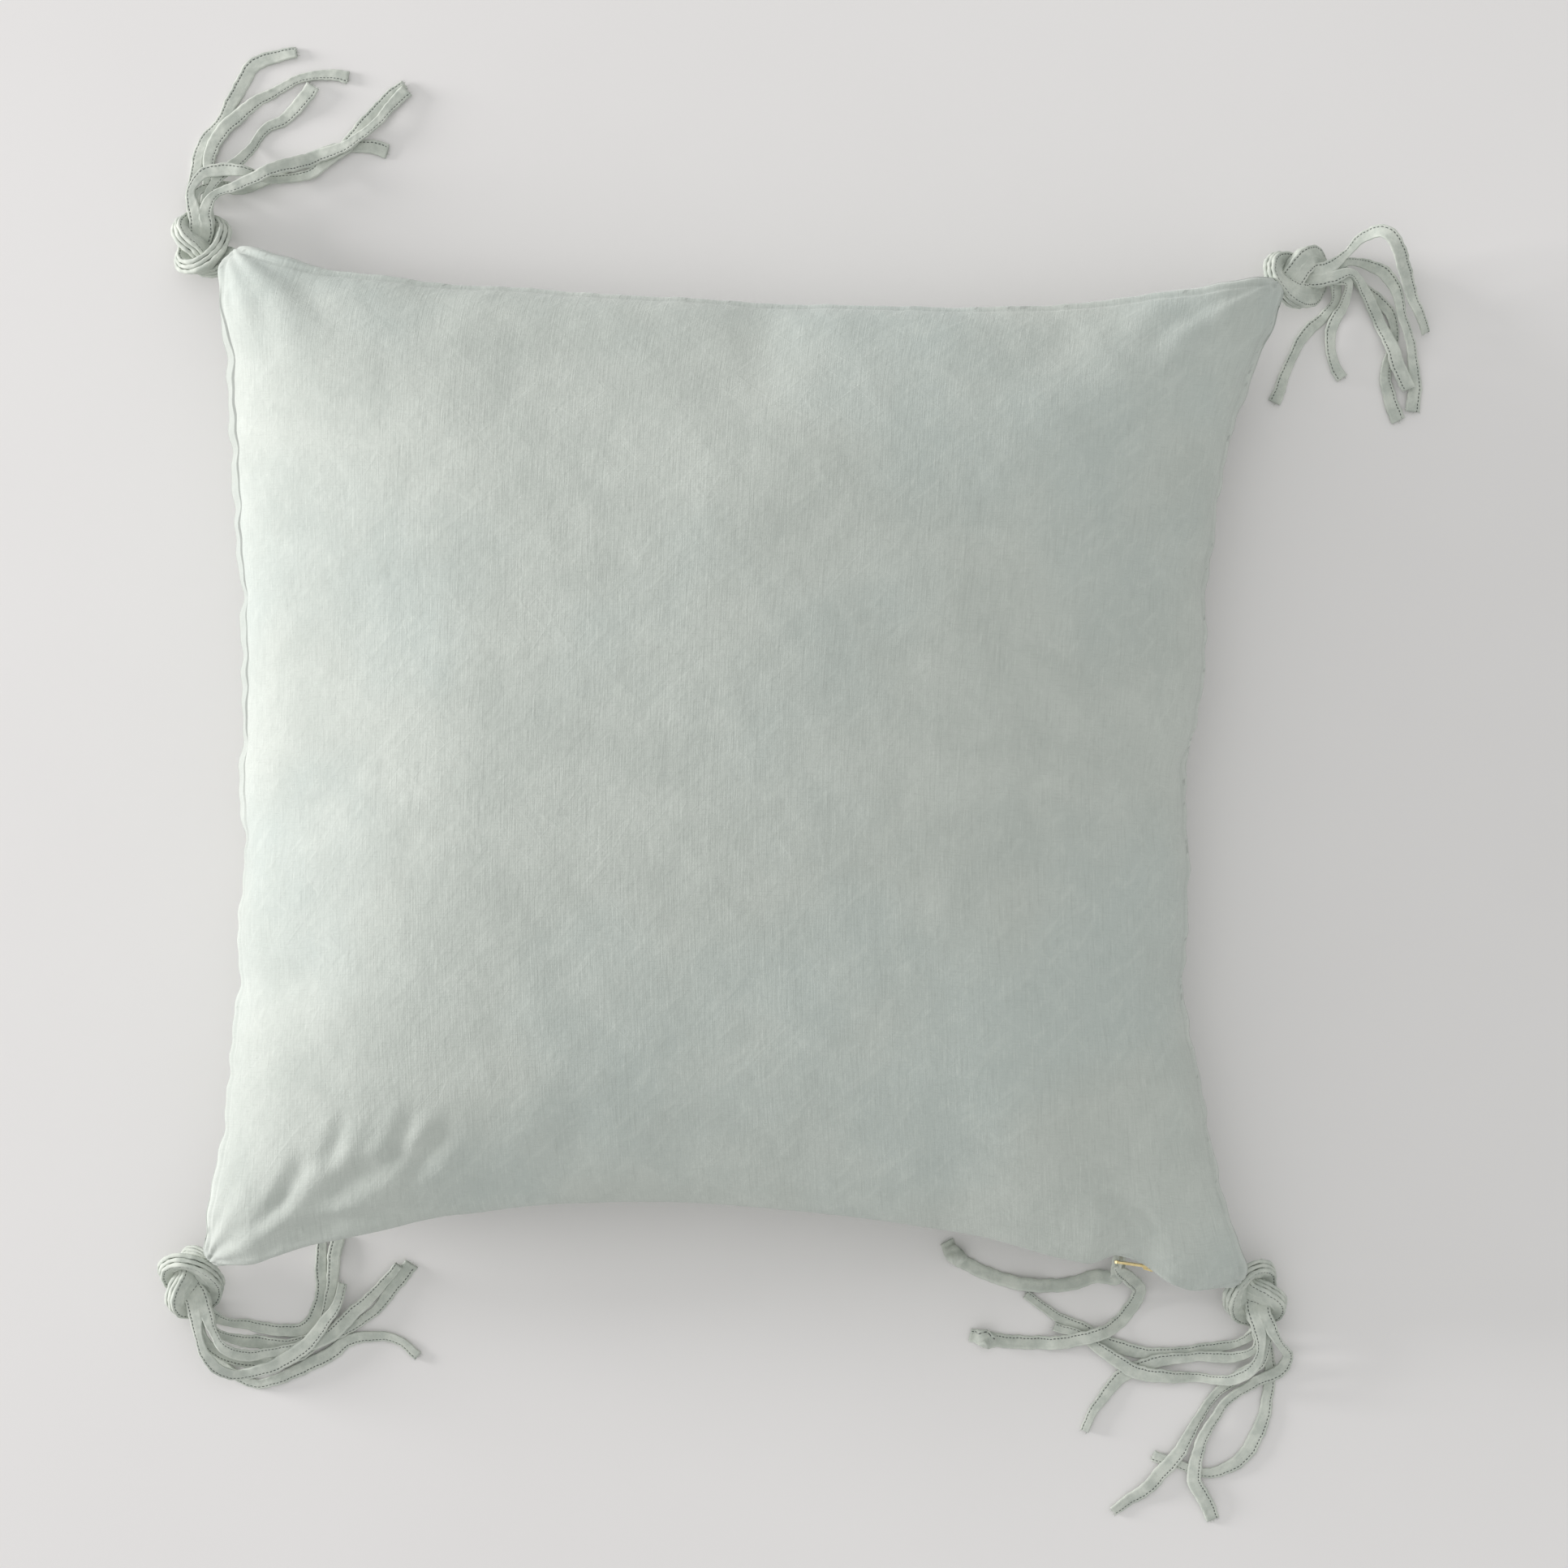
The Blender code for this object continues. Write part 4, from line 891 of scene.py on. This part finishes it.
def corner_point(corner):
    sx, sy = CORNERS[corner][0]
    return np.array([sx * (HALF_X_FAR if sy > 0 else HALF_X_NEAR), sy * HALF_Y])


KNOT_GROWN = 1.05                           # the fabric's knot is a little wider than the solid one
BAND_WIDTH, BAND_THICK = 0.0098, 0.0037     # a tie where it is pressed into the knot
BAND_APART, BAND_STACK = 0.0040, 0.0035     # how far the ties sit from the knot's own line, across and up
LIES_AT = TIE_THICK / 2 + GAP               # height of a tie's middle where it lies on the floor
STEEPEST = 0.8                              # rise over run, where a tie climbs over another
KNOT_STEP, TAIL_STEP, FINE_STEP = 0.0085, 0.0150, 0.0016    # spacing of the points along a tie


def bundle(corner):
    """The shared line of one corner's six ties, from inside the seam through the knot: points and frames."""
    (sx, sy), centre, angle, height, _ = CORNERS[corner]
    tip = np.array([*(plan(sx, sy) + np.array(CORNER_PULL[sx, sy])), CORNER_Z])
    out = np.array([sx, sy, 0]) / math.sqrt(2)
    base = corner_point(corner)
    c, s = math.cos(math.radians(angle)), math.sin(math.radians(angle))
    pts = [tip - 0.007 * out, tip + 0.001 * out]
    for x, y, z in [*KNOT_PATH, (1.75, 0.0, 0.22)]:
        x, y = x * KNOT * KNOT_GROWN, y * KNOT * KNOT_GROWN * KNOT_HAND.get(corner, 1)
        pts.append(np.array([base[0] + centre[0] / 1000 + x * c - y * s,
                             base[1] + centre[1] / 1000 + x * s + y * c, height + z * KNOT]))
    line = curve_through(pts, KNOT_STEP)
    t = directions(line)
    side_v = [np.cross((0, 0, 1.0), t[0])]
    side_v[0] /= np.linalg.norm(side_v[0])
    for k in range(1, len(line)):
        v = side_v[-1] - np.dot(side_v[-1], t[k]) * t[k]
        side_v.append(v / np.linalg.norm(v))
    want = np.cross((0, 0, 1.0), t[-1])
    want /= np.linalg.norm(want)
    up = np.cross(t[-1], side_v[-1])
    turn = math.atan2(np.dot(want, up), np.dot(want, side_v[-1]))
    sides, ups = [], []
    for k, v in enumerate(side_v):
        a = turn * smooth(k / (len(line) - 1))
        u = np.cross(t[k], v)
        sides.append(v * math.cos(a) + u * math.sin(a))
        ups.append(np.cross(t[k], sides[-1]))
    return line, np.array(sides), np.array(ups)


def tie_width(s):
    return TIE_KNOT_WIDTH + (TIE_WIDTH - TIE_KNOT_WIDTH) * smooth((s - 0.006) / 0.045)


def rest_heights(path, start, widths, laid, rise=0.0):
    """Heights for a tie dropped along a plan path over the ties already laid."""
    s = arc_length(path)
    seg = np.linalg.norm(np.diff(path, axis=0), axis=1)
    need = np.full(len(path), LIES_AT)
    for k in range(len(path) - 1):
        for t in np.linspace(0, 1, 5):
            q = path[k] * (1 - t) + path[k + 1] * t
            w = widths[k] * (1 - t) + widths[k + 1] * t
            for other in laid:
                near = np.linalg.norm(other[:, :2] - q, axis=1) < (other[:, 3] + w) / 2 + 0.0002
                if near.any():
                    h = other[near, 2].max() + TIE_THICK + GAP
                    need[k] = max(need[k], h)
                    need[k + 1] = max(need[k + 1], h)
    z = np.maximum(need, start - 0.75 * s)
    if rise:
        z = np.maximum(z, TIE_THICK + rise * np.sin(np.pi * np.clip(s / s[-1] * 1.15, 0, 1)) ** 1.5)
    z[0] = start
    for _ in range(2):
        for k in range(1, len(z)):
            z[k] = max(z[k], z[k - 1] - STEEPEST * seg[k - 1])
        for k in range(len(z) - 2, 0, -1):
            z[k] = max(z[k], z[k + 1] - STEEPEST * seg[k])
    return z


def fine_line(path, z, widths):
    rows = []
    for k in range(len(path) - 1):
        for t in np.linspace(0, 1, 7, endpoint=False):
            rows.append([*(path[k] * (1 - t) + path[k + 1] * t), z[k] * (1 - t) + z[k + 1] * t,
                         widths[k] * (1 - t) + widths[k + 1] * t])
    rows.append([*path[-1], z[-1], widths[-1]])
    return np.array(rows)


# a stitched tube's section: across -1..1, height -1..1 of half its thickness, upper side or not
SECTION = [(-1.0, 0.0, 1), (-0.95, 0.60, 1), (-0.84, 0.98, 1), (-0.66, 0.94, 1), (-0.42, 0.84, 1), (-0.10, 0.88, 1),
           (0.22, 0.84, 1), (0.46, 0.82, 1), (0.60, 0.66, 1), (0.73, 0.80, 1), (0.88, 0.80, 1), (0.97, 0.45, 1),
           (1.0, 0.0, 0.5), (0.90, -0.80, 0), (0.45, -0.92, 0), (0.0, -0.92, 0), (-0.45, -0.92, 0), (-0.90, -0.82, 0)]


def tube_mesh(name, centre, sides, widths, thicks, rolls, seed, knotted=False):
    """A flattened stitched tube along a line of points, raw and slightly open at its end."""
    rng = np.random.default_rng(seed)
    t = directions(centre)
    s = arc_length(centre)
    verts, weave, faces = [], [], []
    m = len(SECTION)
    flip = 1 if seed % 2 else -1
    phase = rng.uniform(0, 6.28, 6)
    for k, p in enumerate(centre):
        sv = sides[k] - np.dot(sides[k], t[k]) * t[k]
        sv /= np.linalg.norm(sv)
        up = np.cross(t[k], sv)
        c, r = math.cos(rolls[k]), math.sin(rolls[k])
        sv, up = sv * c + up * r, up * c - sv * r
        w, th = widths[k] / 2, thicks[k] / 2
        wob = 0.05 * math.sin(s[k] * 420 + phase[0]) + 0.04 * math.sin(s[k] * 910 + phase[1])
        swell = 1 + 0.10 * math.sin(s[k] * 330 + phase[2]) + 0.07 * math.sin(s[k] * 760 + phase[3])
        for a, h, upper in SECTION:
            aa = a * flip
            dent = 1 + 0.10 * math.sin(s[k] * 1100 + 5 * a + phase[4])
            verts.append(p + sv * (aa * w * (1 + wob * (1 if a > 0 else -0.6))) + up * (h * th * swell * dent))
            weave.append((s[k], a, upper))
    rings = [range(k * m, k * m + m) for k in range(len(centre) + 2)]
    for one, two in zip(rings[:-3], rings[1:-2]):
        faces += ring_faces(one, two, flip < 0)
    faces.append(tuple(rings[0]) if flip < 0 else tuple(rings[0])[::-1])
    # the open end: a lip turned in, then a dark hollow
    rim = verts[-m:]
    mid = np.mean(rim, axis=0)
    for k, (shrink, back) in enumerate(((0.80, 0.0), (0.72, 0.0018))):
        verts += [mid + (q - mid) * shrink - t[-1] * back for q in rim]
        weave += [(s[-1], across, 0.0) for across, _, _ in SECTION]
        faces += ring_faces(rings[k - 3], rings[k - 2], flip < 0)
    faces.append(tuple(rings[-1])[::-1] if flip < 0 else tuple(rings[-1]))
    if not knotted:      # a few loose threads
        for _ in range(7):
            a = rng.uniform(-0.9, 0.9)
            sv = sides[-1]
            root = centre[-1] + sv * a * widths[-1] / 2 - t[-1] * 0.0008
            way = t[-1] + sv * rng.normal(0, 0.35)
            way /= np.linalg.norm(way)
            reach = rng.uniform(0.0012, 0.0034)
            bend = sv * rng.normal(0, 0.0008)
            thin = 0.00016
            start = len(verts)
            for f in (0.0, 0.5, 1.0):
                q = root + way * reach * f + bend * f * f
                for d in (sv, np.array([0, 0, 1.0]), -sv):
                    verts.append(q + d * thin * (1 - 0.6 * f))
                    weave.append((s[-1] + reach * f, a, 1))
            for b in (start, start + 3):
                faces += [(b, b + 1, b + 4, b + 3), (b + 1, b + 2, b + 5, b + 4), (b + 2, b, b + 3, b + 5)]
            faces += [(start, start + 2, start + 1), (start + 6, start + 7, start + 8)]
    ob = make(name, verts, faces, TIE_MAT)
    point_vectors(ob, "weave", weave)
    return ob


def declare_tie(ob, node, body):
    declare(ob, body, "tie", node)


def build_ties():
    piles = {}
    for corner, (*_, walks) in CORNERS.items():
        line, sides, ups = bundle(corner)
        base = corner_point(corner)
        laid = []
        for i, walk in enumerate(walks):
            number = 6 * len(piles) + i + 1
            rng = np.random.default_rng(100 + number)
            off_side = BAND_APART if i % 2 == 0 else -BAND_APART
            off_up = (i // 2 - 1) * BAND_STACK
            from_start = arc_length(line)
            gathered = 0.30 + 0.70 * smooth((from_start - 0.004) / 0.016)      # the ties start close together
            shared = line + (sides * off_side + ups * off_up) * gathered[:, None]
            shared[:, 2] = np.maximum(shared[:, 2], 0.0026)
            name = f"{corner}_{i + 1}"
            pts = [shared[-1][:2]] + [base + np.array(p) / 1000 for p in walk]
            path = curve_through(pts, TAIL_STEP)
            s = arc_length(path)
            widths = np.array([tie_width(x) for x in s])
            z = rest_heights(path, shared[-1][2], widths, laid, RISE.get(name, 0.0))
            laid.append(fine_line(path, z, widths))
            t2 = directions(path)
            tail_sides = np.column_stack([-t2[:, 1], t2[:, 0], np.zeros(len(t2))])
            rows = np.vstack([np.column_stack([shared, sides, from_start - from_start[-1]]),
                              np.column_stack([path, z, tail_sides, s])[1:]])
            fine = curve_through(rows, FINE_STEP)
            centre, sv, along = fine[:, :3], fine[:, 3:6], fine[:, 6]
            sv /= np.linalg.norm(sv, axis=1)[:, None]
            free = np.clip(along, 0, None)
            loose = smooth((free - 0.020) / 0.050)
            a, b, c, d = rng.uniform(0, 6.28, 4)
            narrow = 0.21 * (1 + np.sin(free * rng.uniform(38, 60) + a)) * loose
            w = tie_width(free) * (1.08 - narrow)
            knotted = 1 - smooth(free / 0.020)
            gathered = 0.34 + 0.66 * smooth((along - along[0] - 0.004) / 0.016)
            w = w + (BAND_WIDTH - w) * knotted
            th = TIE_THICK * (1.0 + 1.2 * narrow)
            th = th + (BAND_THICK - th) * knotted
            w, th = w * gathered, th * (0.4 + 0.6 * gathered)
            roll = np.radians(7) * loose * np.sin(free * rng.uniform(35, 55) + b)
            centre = centre.copy()
            centre[:, 2] += loose * np.abs(np.sin(roll)) * w * 0.35 + 0.5 * (th - TIE_THICK) * loose
            side2 = np.column_stack([-directions(centre)[:, 1], directions(centre)[:, 0], np.zeros(len(centre))])
            weaving = 0.0007 * loose * np.sin(free * 75 + c) + 0.0004 * loose * np.sin(free * 190 + d)
            centre += side2 * weaving[:, None]
            ob = tube_mesh(f"tie_{name}_tube", centre, sv, w, th, roll, number)
            declare_tie(ob, f"tie_{name}", BODY_CUSHION)
        piles[corner] = laid
    return piles


HANGING = 0.06                                  # the pull's tie hangs free this far from the slot
PULL_TIE_STEP = 0.0014
PINCHED_WIDTH, PINCHED_THICK = 0.0026, 0.0017   # the tie's section in the pull's slot


def build_pull_tie(laid):
    """The strip through the pull's slot: two lengths that meet in the slot, each knotted at its end."""
    phi = math.asin(ZIP_CLOSED_X / NEAR_RADIUS)
    a = math.radians(PULL_REST)
    reach = PULL_LENGTH - 0.0042
    lx, ly = -reach * math.cos(a), PIVOT_OUT - reach * math.sin(a)
    r = NEAR_RADIUS + ly
    hole = np.array([lx * math.cos(phi) + r * math.sin(phi),
                     NEAR_CENTRE - lx * math.sin(phi) + r * math.cos(phi), SEAM_Z])
    along = np.array([math.cos(phi - a), -math.sin(phi - a), 0.0])
    through = np.array([along[1], -along[0], 0.0])
    if through[1] > 0:
        through = -through
    base = corner_point("near_right")

    def walk(points):
        return [np.array([*(base + np.array(p) / 1000), LIES_AT]) for p in points]

    a_side, b_side = walk(PULL_TIE_A), walk(PULL_TIE_B)
    a_side[0][2], b_side[0][2] = 0.012, 0.010       # each strand still hangs at its first point
    left, right = hole - through * 0.0040, hole + through * 0.0040
    left[2] -= 0.0022
    right[2] -= 0.0022
    drop = np.array([0, 0, 0.008])
    to_a = [left, left - through * 0.002 - drop, left * 0.5 + a_side[0] * 0.5] + a_side
    to_b = [right, right + through * 0.002 - drop, right * 0.5 + b_side[0] * 0.5] + b_side
    line = np.vstack([curve_through(to_a, KNOT_STEP)[::-1], [hole - through * 0.0014, hole + through * 0.0014],
                      curve_through(to_b, KNOT_STEP)])
    s = arc_length(line)
    mid = int(np.argmin(np.linalg.norm(line - hole, axis=1)))
    for k in range(len(line)):
        for other in laid:
            near = np.linalg.norm(other[:, :2] - line[k, :2], axis=1) < TIE_WIDTH + 0.003
            if near.any() and abs(s[k] - s[mid]) > HANGING:
                line[k, 2] = max(line[k, 2], other[near, 2].max() + TIE_THICK + GAP)
    for _ in range(2):
        for k in list(range(1, len(line))) + list(range(len(line) - 2, -1, -1)):
            for q in (k - 1, k + 1):
                if 0 <= q < len(line) and abs(s[k] - s[mid]) > HANGING:
                    line[k, 2] = max(line[k, 2], line[q, 2] - STEEPEST * abs(s[q] - s[k]))
    fine = curve_through(line, PULL_TIE_STEP)
    cut = int(np.argmin(np.linalg.norm(fine - hole, axis=1)))
    for letter, half in (("a", fine[:cut + 1][::-1]), ("b", fine[cut:])):
        s = arc_length(half)
        t = directions(half)
        sides, last = [], None
        for k in range(len(half)):
            flat = np.cross((0, 0, 1.0), t[k])
            flat /= max(np.linalg.norm(flat), 1e-6)
            if last is not None and np.dot(flat, last) < 0:
                flat = -flat
            near = smooth((s[k] - 0.004) / 0.030)
            level = along if np.dot(along, flat) > 0 else -along
            last = flat * near + level * (1 - near)
            last = last - np.dot(last, t[k]) * t[k]
            last /= np.linalg.norm(last)
            sides.append(last)
        end = s[-1] - s
        w = PINCHED_WIDTH + (TIE_WIDTH - PINCHED_WIDTH) * smooth((s - 0.003) / 0.022)
        th = PINCHED_THICK + (TIE_THICK - PINCHED_THICK) * smooth(s / 0.020)
        # the knot is a swelling that starts 4 mm before the end
        swell = np.where(end < 0.022, np.sin(math.pi * np.clip((end - 0.004) / 0.016, 0, 1)), 0.0)
        w, th = w + 0.003 * swell, th + 0.0058 * swell
        centre = half.copy()
        centre[:, 2] += (0.5 * 0.0075 + 0.0014) * swell
        roll = 0.7 * swell * np.sin(end * 700)
        seed = 41 if letter == "a" else 42
        ob = tube_mesh(f"zip_pull_tie_{letter}", centre, np.array(sides), w, th, roll, seed, True)
        declare_tie(ob, "zip_pull_tie", BODY_PULL)


PILES = build_ties()
build_pull_tie(PILES["near_right"])

# ---- floor and light ----
floor_nodes = Nodes("pale_floor")
grain = floor_nodes.span(floor_nodes.noise(floor_nodes.object_coords(), 2.0, 4.0, 0.6), 0.3, 0.7)
floor_tone = floor_nodes.mix(grain, (0.792, 0.781, 0.774), (0.806, 0.796, 0.789))
FLOOR_MAT = floor_nodes.finish(floor_tone, Roughness=0.85)
ground = make("ground", [(-6, -6, 0), (6, -6, 0), (6, 6, 0), (-6, 6, 0)], [(0, 1, 2, 3)], FLOOR_MAT)


def area_light(name, place, target, size, watts, tint):
    data = bpy.data.lights.new(name, "AREA")
    data.shape = "DISK"
    data.size = size
    data.energy = watts
    data.color = tint
    ob = bpy.data.objects.new(name, data)
    bpy.context.scene.collection.objects.link(ob)
    ob.location = place
    ob.rotation_euler = (Vector(target) - Vector(place)).to_track_quat("-Z", "Y").to_euler()


area_light("window", (-5.6, 1.0, 0.98), (0, 0, 0.10), 1.9, 318, (1.0, 0.968, 0.980))
area_light("fill", (-0.5, 0.9, 3.4), (0, 0, 0), 2.4, 8, (1.0, 0.99, 0.98))
world = bpy.data.worlds.new("studio")
world.use_nodes = True
world.node_tree.nodes["Background"].inputs[0].default_value = (0.985, 0.985, 0.98, 1.0)
world.node_tree.nodes["Background"].inputs[1].default_value = 0.705
bpy.context.scene.world = world
bpy.context.scene.view_settings.view_transform = "Standard"
